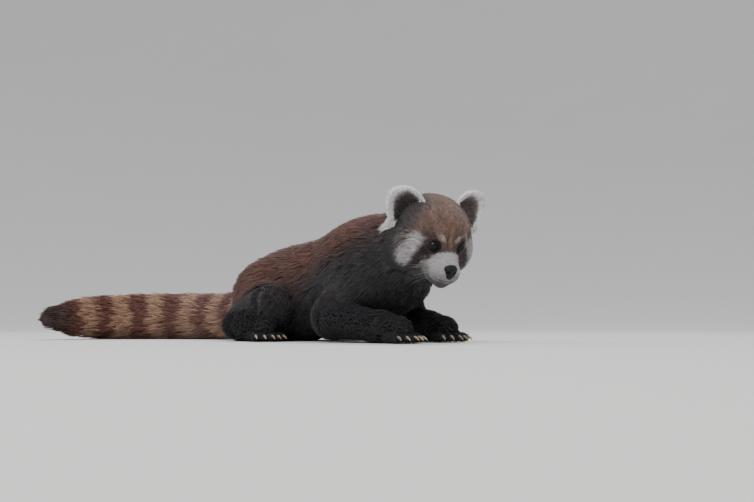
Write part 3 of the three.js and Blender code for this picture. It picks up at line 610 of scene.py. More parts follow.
def nearestTail(p):
    # share of the way along the tail, 0 to 1
    best = np.full(len(p), 9, np.float32)
    share = np.zeros(len(p), np.float32)
    count = len(tailBeads) - 1
    for i in range(count):
        low = -3.0 if i == 0 else 0.0
        high = 4.0 if i == count - 1 else 1.0
        t, d = besideLine(p, tailBeads[i], tailBeads[i + 1], low, high)
        closer = d < best
        best[closer] = d[closer]
        share[closer] = (i + t[closer]) / count
    return share


rings = {"count": 6.3, "start": 0.02, "soft": 0.22}


def tailMarks(p):
    share = nearestTail(p)
    wave = (share - rings["start"]) * rings["count"] + 0.05 * ripple(p, 30, 21)
    pale = smooth(-rings["soft"], rings["soft"], np.sin(2 * math.pi * wave) + 0.12 * ripple(p, 12, 22))
    c = mixed(np.tile(tint["ringDark"], (len(p), 1)), tint["ringPale"], pale * smooth(0.02, 0.08, share))
    c = mixed(c, tint["tailTip"], smooth(0.9, 0.99, share))
    return mixed(c, tint["rustDark"], 0.5 * smooth(0.03, 0.0, p[:, 2]))


def legMarks(p):
    return mixed(np.tile(tint["black"], (len(p), 1)), tint["rustDark"], 0.35 * smooth(0.05, 0.1, p[:, 2]))


def markings(p):
    head, trunk, tailOut = outline["head"](p), outline["trunk"](p), outline["tail"](p)
    leg = np.minimum.reduce([field(p) for field in legOutlines])
    c = trunkMarks(p)
    c = mixed(c, legMarks(p), smooth(0.004, -0.004, leg - trunk))
    c = mixed(c, tailMarks(p), smooth(0.01, -0.01, tailOut - np.minimum(trunk, leg)))
    others = np.minimum(np.minimum(trunk, leg), tailOut)
    return mixed(c, headMarks(p), smooth(0.005, -0.005, head - others) * smooth(-62, -46, toHead(p)[:, 0]))


# Face: lids, eye sockets, mouth and the hollow the nose sits in, added to the skin's field

lids = {"open": 56, "tall": 0.86, "ridge": 1.1, "width": 1.3, "gap": 0.1}       # open: degrees off the gaze
mouth = {"front": 76, "width": 44, "back": 20, "height": -36, "corner": 3, "deep": 1.8, "lineWidth": 1.1,
         "lip": 0.7, "lipAway": 3.2, "lipWidth": 1.6}


def eyeFrame(gaze):
    up = unit(headWay(0, 0, 1) - gaze * (headWay(0, 0, 1) @ gaze))
    return up, np.cross(up, gaze)


def eyeAngles(p, side):
    # angle off the gaze in degrees, stretched so that the opening reads as round
    centre, gaze = eyes[side]
    up, left = eyeFrame(gaze)
    d = p - centre
    far = np.linalg.norm(d, axis=1)
    fore = d @ gaze
    high = d @ up / lids["tall"]
    wide = d @ left
    return np.degrees(np.arctan2(np.sqrt(high * high + wide * wide), fore)), far


def mouthLine(count):
    # along the lips, on the skin, from the right corner to the left
    u = np.linspace(-1, 1, count)
    aims = np.stack([mouth["front"] - mouth["back"] * u * u, mouth["width"] / 2 * u,
                     mouth["height"] + mouth["corner"] * u * u], 1).astype(np.float32)
    inner = fromHead(44, 0, mouth["height"] + 2)
    aims = pose["headCentre"] + (aims / 1000) @ headAxes.T
    ways = unit(aims - inner)
    p = np.tile(inner, (count, 1)).astype(np.float32)
    for _ in range(80):
        p = p + ways * np.maximum(-0.85 * (outline["head"](p) + coat["muzzle"] / 1000), 0)[:, None]
    return p


mouthPlaces = mouthLine(25)


def mouthDistance(p):
    best = np.full(len(p), 1.0, np.float32)
    for a, b in zip(mouthPlaces, mouthPlaces[1:]):
        best = np.minimum(best, besideLine(p, a, b)[1])
    return best.astype(np.float32)


def noseField(grow):
    local = flesh([ball(mm(73, 0, -18.5), 8 + grow, 10 + grow, 7 + grow),
                   ball(mm(73, 0, -26), 7 + grow, 6.5 + grow, 6.5 + grow)], 5)
    return lambda p: local(toHead(p) / 1000)


noseOutline = noseField(0)


def faceRelief(p):
    # millimetres that the face stands above the plain skin, negative in the mouth's line
    away = mouthDistance(p) * 1000
    rise = -mouth["deep"] * np.exp(-(away / mouth["lineWidth"]) ** 2)
    rise += mouth["lip"] * np.exp(-((away - mouth["lipAway"]) / mouth["lipWidth"]) ** 2)
    for side in (-1, 1):
        angle, far = eyeAngles(p, side)
        near = smooth(0.016, 0.012, far)
        rise += near * lids["ridge"] * np.exp(-((angle - lids["open"] - 7) * 0.15 / lids["width"]) ** 2)
    return rise / 1000


def faceField(p):
    d = skinField(p) - faceRelief(p)
    for side in (-1, 1):
        angle, far = eyeAngles(p, side)
        ballGap = far - (eye["radius"] + lids["gap"]) / 1000
        cone = (lids["open"] - angle) * 0.00015
        d = np.maximum(d, -ballGap)
        d = np.maximum(d, np.minimum(cone, 0.004 - np.maximum(ballGap - 0.004, 0)))
    return np.maximum(d, -noseOutline(p) - 0.0014)


hide = {
    "step": 3.15,
    "faceRounds": 2,        # how often the edges of the face are halved
    "closeRounds": 1,       # and once more beside the eyes and the mouth
    "shade": 0.8,           # darker than the fur over it
}
lift = {"skin": 0.0008, "coat": 0.0006}         # metres kept free above the floor


def drawSkin():
    points, quads = drawField(skinField, (-500, -330, -30), (345, 170, 235), hide["step"])
    mesh = bmesh.new()
    verts = [mesh.verts.new(p) for p in points.tolist()]
    for a, b, c, d in quads.tolist():
        mesh.faces.new((verts[a], verts[b], verts[c], verts[d]))
    mesh.verts.index_update()
    for halving in range(hide["faceRounds"] + hide["closeRounds"]):
        p = np.array([v.co for v in mesh.verts], np.float32)
        if halving < hide["faceRounds"]:
            fine = (toHead(p)[:, 0] > 26) & (outline["head"](p) < 0.01)
        else:
            near = np.minimum.reduce([np.linalg.norm(p - centre, axis=1) for centre, gaze in eyes.values()])
            fine = (near < 0.0155) | (mouthDistance(p) < 0.006)
        edges = [e for e in mesh.edges if fine[e.verts[0].index] and fine[e.verts[1].index]]
        bmesh.ops.subdivide_edges(mesh, edges=edges, cuts=1, use_grid_fill=True)
        mesh.verts.index_update()
    bmesh.ops.triangulate(mesh, faces=mesh.faces[:])
    points = np.array([v.co for v in mesh.verts], np.float32)
    triangles = np.array([[v.index for v in f.verts] for f in mesh.faces], np.int64)
    mesh.free()
    q = toHead(points)
    face = (q[:, 0] > 20) & (outline["head"](points) < 0.012)
    points = settle(skinField, points, rounds=2)
    for _ in range(5):
        near = points[face]
        points[face] = near - slope(faceField, near, 0.0004) * (faceField(near) * 0.9)[:, None]
    points[:, 2] = np.maximum(points[:, 2], lift["skin"])
    return points, triangles


# Materials

def newMaterial(name):
    material = bpy.data.materials.new(name)
    material.use_nodes = True
    tree = material.node_tree
    return material, tree, tree.nodes["Principled BSDF"]


def node(tree, kind, **settings):
    made = tree.nodes.new(kind)
    for key, value in settings.items():
        if key in made.inputs:
            made.inputs[key].default_value = value
        else:
            setattr(made, key, value)
    return made


def setSockets(made, values):
    for name, value in values.items():
        made.inputs[name].default_value = value


def colourBy(tree, surface, value, stops):
    # base colour by a value; each stop is a value and the light it gives back
    ramp = node(tree, "ShaderNodeValToRGB")
    marks = ramp.color_ramp.elements
    for mark, (position, rgb) in zip((marks[0], marks[1]), (stops[0], stops[-1])):
        mark.position = position
        mark.color = (*rgb, 1)
    for position, rgb in stops[1:-1]:
        marks.new(position).color = (*rgb, 1)
    tree.links.new(value, ramp.inputs["Fac"])
    tree.links.new(ramp.outputs["Color"], surface.inputs["Base Color"])


def shadeByNoise(tree, surface, noise, spreads):
    # the painted colour, darker and lighter with the noise
    colour = node(tree, "ShaderNodeAttribute", attribute_name="coatColour")
    spread = node(tree, "ShaderNodeMapRange")
    setSockets(spread, spreads)
    shade = node(tree, "ShaderNodeVectorMath", operation="SCALE")
    tree.links.new(noise.outputs["Fac"], spread.inputs["Value"])
    tree.links.new(colour.outputs["Color"], shade.inputs[0])
    tree.links.new(spread.outputs["Result"], shade.inputs["Scale"])
    tree.links.new(shade.outputs["Vector"], surface.inputs["Base Color"])


def raiseBy(tree, surface, height, strength, depth):
    bump = node(tree, "ShaderNodeBump", Strength=strength, Distance=depth)
    tree.links.new(height, bump.inputs["Height"])
    tree.links.new(bump.outputs["Normal"], surface.inputs["Normal"])


def hairMaterial(name, roughness, streak, strands=5.0):
    material, tree, surface = newMaterial(name)
    hair = node(tree, "ShaderNodeAttribute", attribute_name="hair")      # across, along, own number
    stretch = node(tree, "ShaderNodeMapping", Scale=(strands, 1.6, 61.0))
    noise = node(tree, "ShaderNodeTexNoise", Scale=1.0, Detail=2.0, Roughness=0.6)
    tree.links.new(hair.outputs["Vector"], stretch.inputs["Vector"])
    tree.links.new(stretch.outputs["Vector"], noise.inputs["Vector"])
    shadeByNoise(tree, surface, noise, {"From Min": 0.25, "From Max": 0.75,
                                        "To Min": 1 - streak, "To Max": 1 + streak})
    raiseBy(tree, surface, noise.outputs["Fac"], 0.35, 0.0006)
    setSockets(surface, {"Roughness": roughness, "Specular IOR Level": 0.35, "Sheen Weight": 0.12,
                         "Sheen Roughness": 0.5})
    return material


def hideMaterial():
    material, tree, surface = newMaterial("hide")
    place = node(tree, "ShaderNodeTexCoord")
    coarse = node(tree, "ShaderNodeTexNoise", Scale=420.0, Detail=4.0, Roughness=0.65)
    fine = node(tree, "ShaderNodeTexNoise", Scale=1500.0, Detail=3.0, Roughness=0.7)
    for noise in (coarse, fine):
        tree.links.new(place.outputs["Object"], noise.inputs["Vector"])
    shadeByNoise(tree, surface, coarse, {"From Min": 0.3, "From Max": 0.7, "To Min": 0.55, "To Max": 0.95})
    raiseBy(tree, surface, fine.outputs["Fac"], 0.5, 0.0008)
    setSockets(surface, {"Roughness": 0.75, "Specular IOR Level": 0.25})
    return material


def leatherMaterial(name, colour, roughness, scale, depth):
    material, tree, surface = newMaterial(name)
    place = node(tree, "ShaderNodeTexCoord")
    cells = node(tree, "ShaderNodeTexVoronoi", Scale=scale, feature="DISTANCE_TO_EDGE")
    noise = node(tree, "ShaderNodeTexNoise", Scale=scale * 0.35, Detail=3.0)
    for pattern in (cells, noise):
        tree.links.new(place.outputs["Object"], pattern.inputs["Vector"])
    dark = linear(*colour)
    colourBy(tree, surface, noise.outputs["Fac"], [(0.3, dark * 0.6), (0.75, np.minimum(dark * 1.7, 1))])
    raiseBy(tree, surface, cells.outputs["Distance"], 0.6, depth)
    setSockets(surface, {"Roughness": roughness, "Specular IOR Level": 0.3})
    return material


# pupil, iris and dark edge, by how far off the gaze they lie, 1 being 90 degrees
irisBands = ((0.25, (4, 3, 3)), (0.3, (24, 19, 18)), (0.42, (31, 24, 21)), (0.5, (18, 14, 13)),
             (0.54, (12, 9, 9)))


def eyeMaterial():
    material, tree, surface = newMaterial("eye")
    ring = node(tree, "ShaderNodeAttribute", attribute_name="offGaze")
    place = node(tree, "ShaderNodeTexCoord")
    flecks = node(tree, "ShaderNodeTexNoise", Scale=900.0, Detail=3.0)
    tree.links.new(place.outputs["Object"], flecks.inputs["Vector"])
    wobble = node(tree, "ShaderNodeMath", operation="MULTIPLY_ADD")
    wobble.inputs[1].default_value = 0.04
    tree.links.new(flecks.outputs["Fac"], wobble.inputs[0])
    tree.links.new(ring.outputs["Fac"], wobble.inputs[2])
    stops = [(off, linear(*rgb)) for off, rgb in irisBands]
    stops = [(0, (0.002, 0.0015, 0.0015))] + stops + [(1, (0.012, 0.008, 0.007))]
    colourBy(tree, surface, wobble.outputs["Value"], stops)
    setSockets(surface, {"Roughness": 0.4, "Specular IOR Level": 0.1, "Coat Weight": 0.28,
                         "Coat Roughness": 0.06})
    return material


# Skin

hideFinish = hideMaterial()
skinPoints, skinTriangles = drawSkin()
skin = meshPiece("skin", skinPoints, skinTriangles, hideFinish)
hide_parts("head", "neck", "torso", "foreleg_right", "foreleg_left", "hindleg_right", "hindleg_left",
            "tail_1", "tail_2", "tail_3", "tail_4")
skinColours = markings(skinPoints)
lineAway = mouthDistance(skinPoints)
skinColours = mixed(skinColours, tint["bareSkin"], 0.8 * smooth(0.0024, 0.0008, lineAway))
skinColours = mixed(skinColours, tint["bareSkin"], smooth(0.0016, 0.0006, noseOutline(skinPoints)))
for side in (-1, 1):
    rimAngle, rimFar = eyeAngles(skinPoints, side)
    rimShare = smooth(0.015, 0.0125, rimFar) * smooth(67, 61, rimAngle)
    skinColours = mixed(skinColours, tint["bareSkin"], rimShare)
paint(skin, skinColours * hide["shade"])
print("skin", len(skinTriangles))


# Coat: each tuft is a thin three-sided blade that follows a path over the skin

profiles = {3: [0.6, 1.0, 0.75], 2: [0.8, 0.9]}     # share of the width at each ring, by how many rings
blade = {"thick": 0.45, "darkest": 0.7, "spread": 0.6, "patch": 0.003}      # patch: its size on the map


def bladeMesh(name, paths, ups, widths, colours, unwrapped, material, rng, fade):
    # paths: tufts x (rings + 1) x 3, the last place being the tip
    count, stations = paths.shape[:2]
    ringCount = stations - 1
    along = unit(np.gradient(paths, axis=1))
    across = unit(np.cross(along, ups))
    above = np.cross(across, along)
    points = np.empty((count, ringCount * 3 + 1, 3), np.float32)
    shares = profiles[ringCount]
    for k in range(ringCount):
        half = (widths * shares[k] / 2)[:, None]
        points[:, k * 3] = paths[:, k] - across[:, k] * half
        points[:, k * 3 + 1] = paths[:, k] + across[:, k] * half
        points[:, k * 3 + 2] = paths[:, k] + above[:, k] * half * 2 * blade["thick"]
    points[:, -1] = paths[:, -1]
    points[..., 2] = np.maximum(points[..., 2], lift["coat"])
    faces = [(0, 2, 1)]
    for k in range(ringCount - 1):
        for i, j in ((0, 1), (1, 2), (2, 0)):
            a, b = k * 3 + i, k * 3 + j
            faces += [(a, b, b + 3), (a, b + 3, a + 3)]
    last, tip = (ringCount - 1) * 3, ringCount * 3
    faces += [(last, last + 1, tip), (last + 1, last + 2, tip), (last + 2, last, tip)]
    faces = np.array(faces)
    perTuft = points.shape[1]
    triangles = (faces[None] + (np.arange(count) * perTuft)[:, None, None]).reshape(-1, 3)
    piece = meshPiece(name, points.reshape(-1, 3), triangles, material)

    run = np.concatenate([np.repeat(np.arange(ringCount) / ringCount, 3), [1.0]]).astype(np.float32)
    side = np.concatenate([np.tile([-1.0, 1.0, 0.0], ringCount), [0.0]]).astype(np.float32)
    own = rng.random(count).astype(np.float32)
    light = (blade["darkest"] + blade["spread"] * rng.random(count)).astype(np.float32)
    rootToTip = 1 - fade + fade * 1.5 * run
    shaded = colours[:, None] * light[:, None, None] * rootToTip[None, :, None]
    paint(piece, shaded.reshape(-1, 3))
    hair = np.empty((count, perTuft, 3), np.float32)
    hair[..., 0] = side * 0.5
    hair[..., 1] = run
    hair[..., 2] = own[:, None]
    piece.data.attributes.new("hair", "FLOAT_VECTOR", "POINT").data.foreach_set("vector", hair.ravel())

    flat = np.empty((count, perTuft, 2), np.float32)
    flat[..., 0] = unwrapped[:, 0:1] + side * blade["patch"] / 2
    flat[..., 1] = unwrapped[:, 1:2] + (run - 0.5) * blade["patch"]
    layer = piece.data.uv_layers.new(name="OFBake")
    layer.data.foreach_set("uv", flat.reshape(-1, 2)[triangles.ravel()].ravel().astype(np.float32))
    print(name, count, "tufts", len(triangles), "triangles")


def scatter(keep, count, rng):
    # roots spread evenly over the skin, more where keep is greater
    a, b, c = (skinPoints[skinTriangles[:, k]] for k in range(3))
    size = np.linalg.norm(np.cross(b - a, c - a), axis=1) * keep((a + b + c) / 3)
    total = np.cumsum(size)
    drawn = (np.arange(count) + rng.random(count)) / count * total[-1]
    pick = np.minimum(np.searchsorted(total, drawn), len(total) - 1)
    u, v = rng.random(count), rng.random(count)
    over = u + v > 1
    u[over], v[over] = 1 - u[over], 1 - v[over]
    roots = a[pick] + (b - a)[pick] * u[:, None] + (c - a)[pick] * v[:, None]
    return roots[rng.permutation(count)].astype(np.float32)


def underOutline(roots, lie, lengths, deep, shares, ringCount, rise=1.8):
    # each path leaves its root, climbs from the skin towards the coat's outline and runs on along the lie
    paths = np.empty((len(roots), ringCount + 1, 3), np.float32)
    ups = np.empty_like(paths)
    up = slope(skinField, roots)
    paths[:, 0], ups[:, 0] = roots - up * 0.0006, up
    p = roots
    for k in range(1, ringCount + 1):
        way = lie(p, up)
        way = unit(way - up * (way * up).sum(1, keepdims=True))
        p = p + way * (lengths / ringCount)[:, None]
        wanted = -deep * (1 - shares * (1 - (1 - k / ringCount) ** rise))
        up = slope(outlineField, p)
        p = p + up * np.clip(wanted - outlineField(p), -0.012, 0.012)[:, None]
        paths[:, k], ups[:, k] = p, up
    return paths, ups


def gather(paths, share, perClump, rng):
    # tips drawn together into pointed locks
    count = len(paths)
    leaders = rng.permutation(count)[:max(count // perClump, 1)]
    tree = kdtree.KDTree(len(leaders))
    for i, place in enumerate(paths[leaders, 0].tolist()):
        tree.insert(place, i)
    tree.balance()
    nearest = np.array([tree.find(place)[1] for place in paths[:, 0].tolist()])
    lead = paths[leaders[nearest]]
    run = np.linspace(0, 1, paths.shape[1]) ** 1.4
    pull = share[:, None] * run[None] if np.ndim(share) else share * run[None]
    return paths + (lead - paths) * pull[..., None]


def turned(way, up, angle):
    sideways = np.cross(up, way)
    return way * np.cos(angle)[:, None] + sideways * np.sin(angle)[:, None]


def growCoat(spec, keep, lie, lengthAt, unwrap, material):
    rng = np.random.default_rng(spec["seed"])
    count = spec["count"]
    roots = scatter(keep, count, rng)
    lengths = (lengthAt(roots) / 1000 * rng.uniform(0.75, 1.2, count)).astype(np.float32)
    deep = np.clip(-outlineField(roots), spec["least"] / 1000, spec["most"] / 1000)
    shares = rng.uniform(spec["low"], spec["high"], count).astype(np.float32)
    swing = spec["stray"] * (0.7 * ripple(roots, spec["streak"], spec["seed"]) + 0.5 * rng.normal(size=count))

    def swung(p, up):
        return turned(unit(lie(p, up)), up, swing)

    paths, ups = underOutline(roots, swung, lengths, deep, shares, spec["rings"])
    paths = gather(paths, spec["clump"], spec["perClump"], rng)
    widths = (spec["width"] / 1000 * rng.uniform(0.7, 1.3, count)).astype(np.float32)
    if "widthAt" in spec:
        widths = widths * spec["widthAt"](roots)
    seen = paths[:, 0] * (1 - spec["seenAt"]) + paths[:, -1] * spec["seenAt"]      # where its colour is read
    seen = seen + rng.normal(0, spec["feather"] / 1000, seen.shape).astype(np.float32)
    bladeMesh(spec["name"], paths, ups, widths, markings(seen), unwrap(roots), material, rng,
              spec["fade"])


def onMap(u, v):
    # a hundredth of the map stays free along its edges
    return np.stack([u * 0.98 + 0.01, np.clip(v, 0, 1) * 0.98 + 0.01], 1)


def unwrapTrunk(low, high):
    def unwrap(p):
        u = np.arctan2(p[:, 1], p[:, 2] - 0.09) / (2 * math.pi) + 0.5
        return onMap(u, (p[:, 0] - low) / (high - low))
    return unwrap


def trunkLie(p, up):
    way = np.tile(np.array([-0.95, 0, -0.16], np.float32), (len(p), 1))
    way[:, 2] -= 0.35 * np.abs(up[:, 1])
    neck = smooth(0.16, 0.22, p[:, 0])
    down = np.tile(headWay(-0.85, 0, -0.25), (len(p), 1))
    down[:, 2] -= 0.3
    return mixed(way, down, neck)


def partOf(p):
    # which part of the body a root belongs to: 0 trunk, 1 head, 2 tail, 3 legs
    legNear = np.minimum.reduce([leg(p) for leg in legOutlines])
    parts = np.stack([outline["trunk"](p), outline["head"](p), outline["tail"](p), legNear], 1)
    return parts.argmin(1)


def trunkLength(p):
    size = np.interp(p[:, 0], trunkCoat["lengthAt"], trunkCoat["length"])
    return size * (0.35 + 0.65 * smooth(0.002, 0.05, p[:, 2]))


def trunkKeep(low, high):
    def keep(p):
        inside = (partOf(p) == 0) & (p[:, 0] >= low) & (p[:, 0] < high)
        return inside * (0.35 + 0.65 * smooth(0.001, 0.02, p[:, 2]))
    return keep


furFinish = {
    "back": hairMaterial("backFur", 0.62, 0.45),
    "leg": hairMaterial("legFur", 0.68, 0.4),
    "tail": hairMaterial("tailFur", 0.62, 0.45),
    "head": hairMaterial("headFur", 0.66, 0.35, 3.0),
    "ear": hairMaterial("earFur", 0.66, 0.3, 3.0),
}

trunkCoat = {"count": 10900, "rings": 3, "width": 2.2, "least": 2.0, "most": 24, "low": 0.72, "high": 1.02,
             "stray": 0.16, "streak": 55, "clump": 0.42, "perClump": 12, "seenAt": 0.5, "fade": 0.36,
             "feather": 5, "lengthAt": [-0.2, 0.1, 0.2, 0.26], "length": [50, 46, 36, 26]}
trunkParts = (("rumpCoat", -0.24, -0.06, 101), ("backCoat", -0.06, 0.1, 102), ("neckCoat", 0.1, 0.29, 103))
for name, low, high, seed in trunkParts:
    growCoat({**trunkCoat, "name": name, "seed": seed}, trunkKeep(low, high), trunkLie, trunkLength,
             unwrapTrunk(low, high), furFinish["back"])


# Tail

def tailWay(p, up):
    share = np.clip(nearestTail(p), 0, 1) * (len(tailWays) - 1)
    low = np.minimum(share.astype(int), len(tailWays) - 2)
    rest = (share - low)[:, None]
    return tailWays[low] * (1 - rest) + tailWays[low + 1] * rest


def unwrapTail(low, high):
    def unwrap(p):
        share = nearestTail(p)
        at = np.clip(share, 0, 1) * (len(tailBeads) - 1)
        i = np.minimum(at.astype(int), len(tailBeads) - 2)
        middle = tailBeads[i] + (tailBeads[i + 1] - tailBeads[i]) * (at - i)[:, None]
        out = p - middle
        side = np.stack([tailWays[i][:, 1], -tailWays[i][:, 0]], 1)
        u = np.arctan2((out[:, :2] * side).sum(1), out[:, 2]) / (2 * math.pi) + 0.5
        return onMap(u, (share - low) / (high - low))
    return unwrap


def tailKeep(low, high):
    def keep(p):
        share = nearestTail(p)
        return ((partOf(p) == 2) | (tailSkin(p) < 0.002)) * (share >= low) * (share < high) * 1.0
    return keep


tailCoat = {"count": 9200, "rings": 3, "width": 2.2, "least": 4, "most": 32, "low": 0.7, "high": 1.02,
            "stray": 0.14, "streak": 40, "clump": 0.5, "perClump": 14, "seenAt": 0.55, "fade": 0.36,
            "feather": 2.5, "lengthAt": [0, 0.1, 0.9, 1], "length": [46, 44, 46, 60]}


def tailLength(p):
    return np.interp(nearestTail(p), tailCoat["lengthAt"], tailCoat["length"])


for name, low, high, seed in (("tailRootCoat", -0.5, 0.46, 201), ("tailEndCoat", 0.46, 5.0, 202)):
    growCoat({**tailCoat, "name": name, "seed": seed}, tailKeep(low, high), tailWay, tailLength,
             unwrapTail(max(low, 0), min(high, 1)), furFinish["tail"])


# Legs

def legOfPoint(p):
    return np.stack([leg(p) for leg in legOutlines], 1).argmin(1)


def legWay(p, up):
    which = legOfPoint(p)
    way = np.zeros_like(p)
    for i, plan in enumerate(legs):
        mine = which == i
        if not mine.any():
            continue
        q = p[mine]
        lower = plan["lower"] if plan["hind"] else plan["lower"][1:]
        places = plan["upper"] + lower + [plan["toes"][2][1]]
        best = np.full(len(q), 9.0)
        found = np.zeros_like(q)
        for a, b in zip(places, places[1:]):
            d = besideLine(q, a, b)[1]
            closer = d < best
            best[closer] = d[closer]
            found[closer] = unit(b - a)
        found[:, 2] -= 0.35 * smooth(0.02, 0.06, q[:, 2])
        way[mine] = found
    return way


def toeNear(p):
    return np.minimum.reduce([field(p) for field in toeFields])


def legLength(p):
    low, high, toe = legCoat["length"]
    size = low + (high - low) * smooth(0.03, 0.085, p[:, 2])
    return size - (size - toe) * smooth(0.004, -0.001, toeNear(p))


def legKeep(p):
    return (partOf(p) == 3) * (0.2 + 0.8 * smooth(0.001, 0.008, p[:, 2]))


def unwrapLegs(p):
    # a quarter of the map each
    which = legOfPoint(p)
    flat = np.empty((len(p), 2), np.float32)
    for i, plan in enumerate(legs):
        mine = which == i
        q = p[mine]
        foot, top = plan["lower"][-1], plan["lower"][0]
        along = unit(foot - top)
        middle = (foot + top) / 2
        out = q - middle
        span = out @ along
        side = np.cross(along, [0, 0, 1])
        u = np.arctan2(out @ side, out[:, 2]) / (2 * math.pi) + 0.5
        v = np.clip(span / 0.24 + 0.5, 0, 1)
        flat[mine] = np.stack([(i % 2 + 0.03 + 0.94 * u) / 2, (i // 2 + 0.03 + 0.94 * v) / 2], 1)
    return flat


legCoat = {"name": "legCoat", "seed": 301, "count": 18500, "rings": 2, "width": 1.7, "least": 1.4, "most": 9,
           "low": 0.7, "high": 1.1, "stray": 0.09, "streak": 40, "clump": 0.25, "perClump": 7,
           "seenAt": 0.5, "fade": 0.3, "feather": 3, "length": (9, 24, 4.5),        # low, high and on the toes
           "widthAt": lambda p: 1 - 0.45 * smooth(0.004, -0.001, toeNear(p))}
growCoat(legCoat, legKeep, legWay, legLength, unwrapLegs, furFinish["leg"])


# Head

noseTip = np.array([80, 0, -14], np.float32)
headFur = {
    "lengthAt": [-50, 0, 30, 46, 60, 76],
    "length": [34, 21, 13, 7, 4.2, 2.8],
    "cheekLength": 27,
    "denseAt": [-40, 30, 60, 80],
    "dense": [0.8, 1, 1.5, 2.2],
    "front": 30,            # where the face's coat begins
    "lidAngle": 62,         # the lids are bare within this angle off the gaze
}


def headLie(p, up):
    q = toHead(p)
    way = unit(q - noseTip)
    side = np.sign(q[:, 1])
    cheek = smooth(26, 46, np.abs(q[:, 1])) * smooth(46, 20, q[:, 0]) * smooth(24, 0, q[:, 2])
    back = np.stack([np.full(len(p), -0.62), 0.35 * side, np.full(len(p), -0.7)], 1)
    way = mixed(way, back, cheek)
    for eyeSide in (-1, 1):
        centre = toHead(eyes[eyeSide][0][None])[0]
        off = q - centre
        near = smooth(24, 13, np.linalg.norm(off, axis=1))
        way = way + unit(off) * (1.6 * near)[:, None]
    return unit(way) @ headAxes.T


def headLength(p):
    q = toHead(p)
    s = np.abs(q[:, 1])
    size = np.interp(q[:, 0], headFur["lengthAt"], headFur["length"])
    cheek = smooth(28, 46, s) * smooth(36, 16, q[:, 0]) * smooth(22, 0, q[:, 2])
    size = size + (headFur["cheekLength"] - size) * cheek
    for eyeSide in (-1, 1):
        far = np.linalg.norm(p - eyes[eyeSide][0], axis=1) * 1000
        size = size * (0.35 + 0.65 * smooth(12, 24, far))
    away = mouthDistance(p) * 1000
    return size * (0.35 + 0.65 * smooth(2, 9, away))


def headKeep(front):
    def keep(p):
        q = toHead(p)
        inFront = q[:, 0] >= headFur["front"]
        inside = (partOf(p) == 1) & (inFront if front else ~inFront)
        inside &= mouthDistance(p) > 0.0012
        inside &= noseOutline(p) > 0.0006
        for side in (-1, 1):
            angle, far = eyeAngles(p, side)
            inside &= (far > 0.0125) | (angle > headFur["lidAngle"])
        return inside * np.interp(q[:, 0], headFur["denseAt"], headFur["dense"])
    return keep


def unwrapHead(front):
    def unwrap(p):
        # round the head's own long line, laid out as a disc so that nothing pinches at the nose
        q = toHead(p) + np.array([0, 0, 10 if front else 0], np.float32)
        turn = np.arctan2(q[:, 1], q[:, 2])
        lean = np.arctan2(np.hypot(q[:, 1], q[:, 2]), q[:, 0] if front else -q[:, 0]) / math.pi
        far = 0.485 * np.clip(lean / 0.72, 0, 1)
        return np.stack([0.5 + far * np.sin(turn), 0.5 + far * np.cos(turn)], 1)
    return unwrap


faceCoat = {"name": "faceCoat", "seed": 401, "count": 19500, "rings": 2, "width": 0.85, "least": 0.4,
            "most": 6, "low": 0.6, "high": 1.15, "stray": 0.16, "streak": 12, "clump": 0.35,
            "perClump": 6, "seenAt": 0.5, "fade": 0.16, "feather": 1.1,
            "widthAt": lambda p: np.interp(toHead(p)[:, 0], [30, 50, 70], [1.15, 0.9, 0.7])}
crownCoat = {"name": "crownCoat", "seed": 402, "count": 18500, "rings": 2, "width": 1.15, "least": 1.5,
             "most": 16, "low": 0.7, "high": 1.1, "stray": 0.2, "streak": 16, "clump": 0.5,
             "perClump": 9, "seenAt": 0.55, "fade": 0.22, "feather": 2.4}
growCoat(faceCoat, headKeep(True), headLie, headLength, unwrapHead(True), furFinish["head"])
growCoat(crownCoat, headKeep(False), headLie, headLength, unwrapHead(False), furFinish["head"])


# Ears: a thin cupped leaf each, with a pale fringe round a dark hollow

ear = {
    "inner": (-4, 16, 57),
    "outer": (-12, 72, 16),
    "tip": (-9, 72, 74),
    "height": 36,
    "halfWidth": 27,
    "thick": 5.0,
    "middle": 15,
    "sunk": 0.28,
    "cup": 12,
    "cupBack": 6,
    "columns": 44,
    "rows": 30,
    "bandAngles": [-122, -60, 0, 45, 90, 112, 124],
    "band": [9, 11, 13.5, 14.5, 13, 9, 0],       # width of the pale band inside the rim, by angle
    "fringeAngles": [-116, -88, -48, -17, 0, 12, 24, 36, 50, 84, 116],
    "fringeNear": [0.8, 0.6, 0.8, 2.8, 3.6, 5.5, 7, 6.2, 5, 4.5, 5],        # how far it stands past the rim
    "fringeFar": [3, 4, 5, 7, 7.5, 8, 7.6, 7, 4.5, 1, 1.5],
    "tuftTip": (50, -6),
    "map": 110,         # millimetres of ear across the whole map
    "shade": 0.85,
    "rimTufts": 2700,
    "bandTufts": 1800,
    "outerTufts": 420,
    "innerTufts": 170,
    "hollowTufts": 550,
    "edgeTufts": 90,
    "backTufts": 900,
}


def earPlan(side):
    inner, outer, tip = (np.array([x, y * side, z], np.float32)
                         for x, y, z in (ear["inner"], ear["outer"], ear["tip"]))
    foot = (inner + outer) / 2
    rise = unit(tip - foot)
    across = outer - inner
    across = unit(across - rise * (across @ rise))
    facing = unit(np.cross(across, rise))
    facing = facing * np.sign(facing[0])
    plan = {"side": side, "foot": foot, "rise": rise, "across": across, "facing": facing}
    if side < 0:
        return {**plan, "bandShadeShare": 1.0, "fringe": ear["fringeNear"], "tuft": 1.0, "hollowLight": 1.0}
    # the far ear: its hollow is painted lighter, as light shining through it, and its pale band narrower, as
    # painted shade
    return {**plan, "bandShadeShare": 0.85, "fringe": ear["fringeFar"], "tuft": 0.6, "hollowLight": 2.8}


def bandAt(plan, degrees):
    return plan["bandShadeShare"] * np.interp(degrees, ear["bandAngles"], ear["band"], left=0)


def rimPlace(angle, r):
    return r * np.sin(angle), ear["middle"] + r * np.cos(angle)


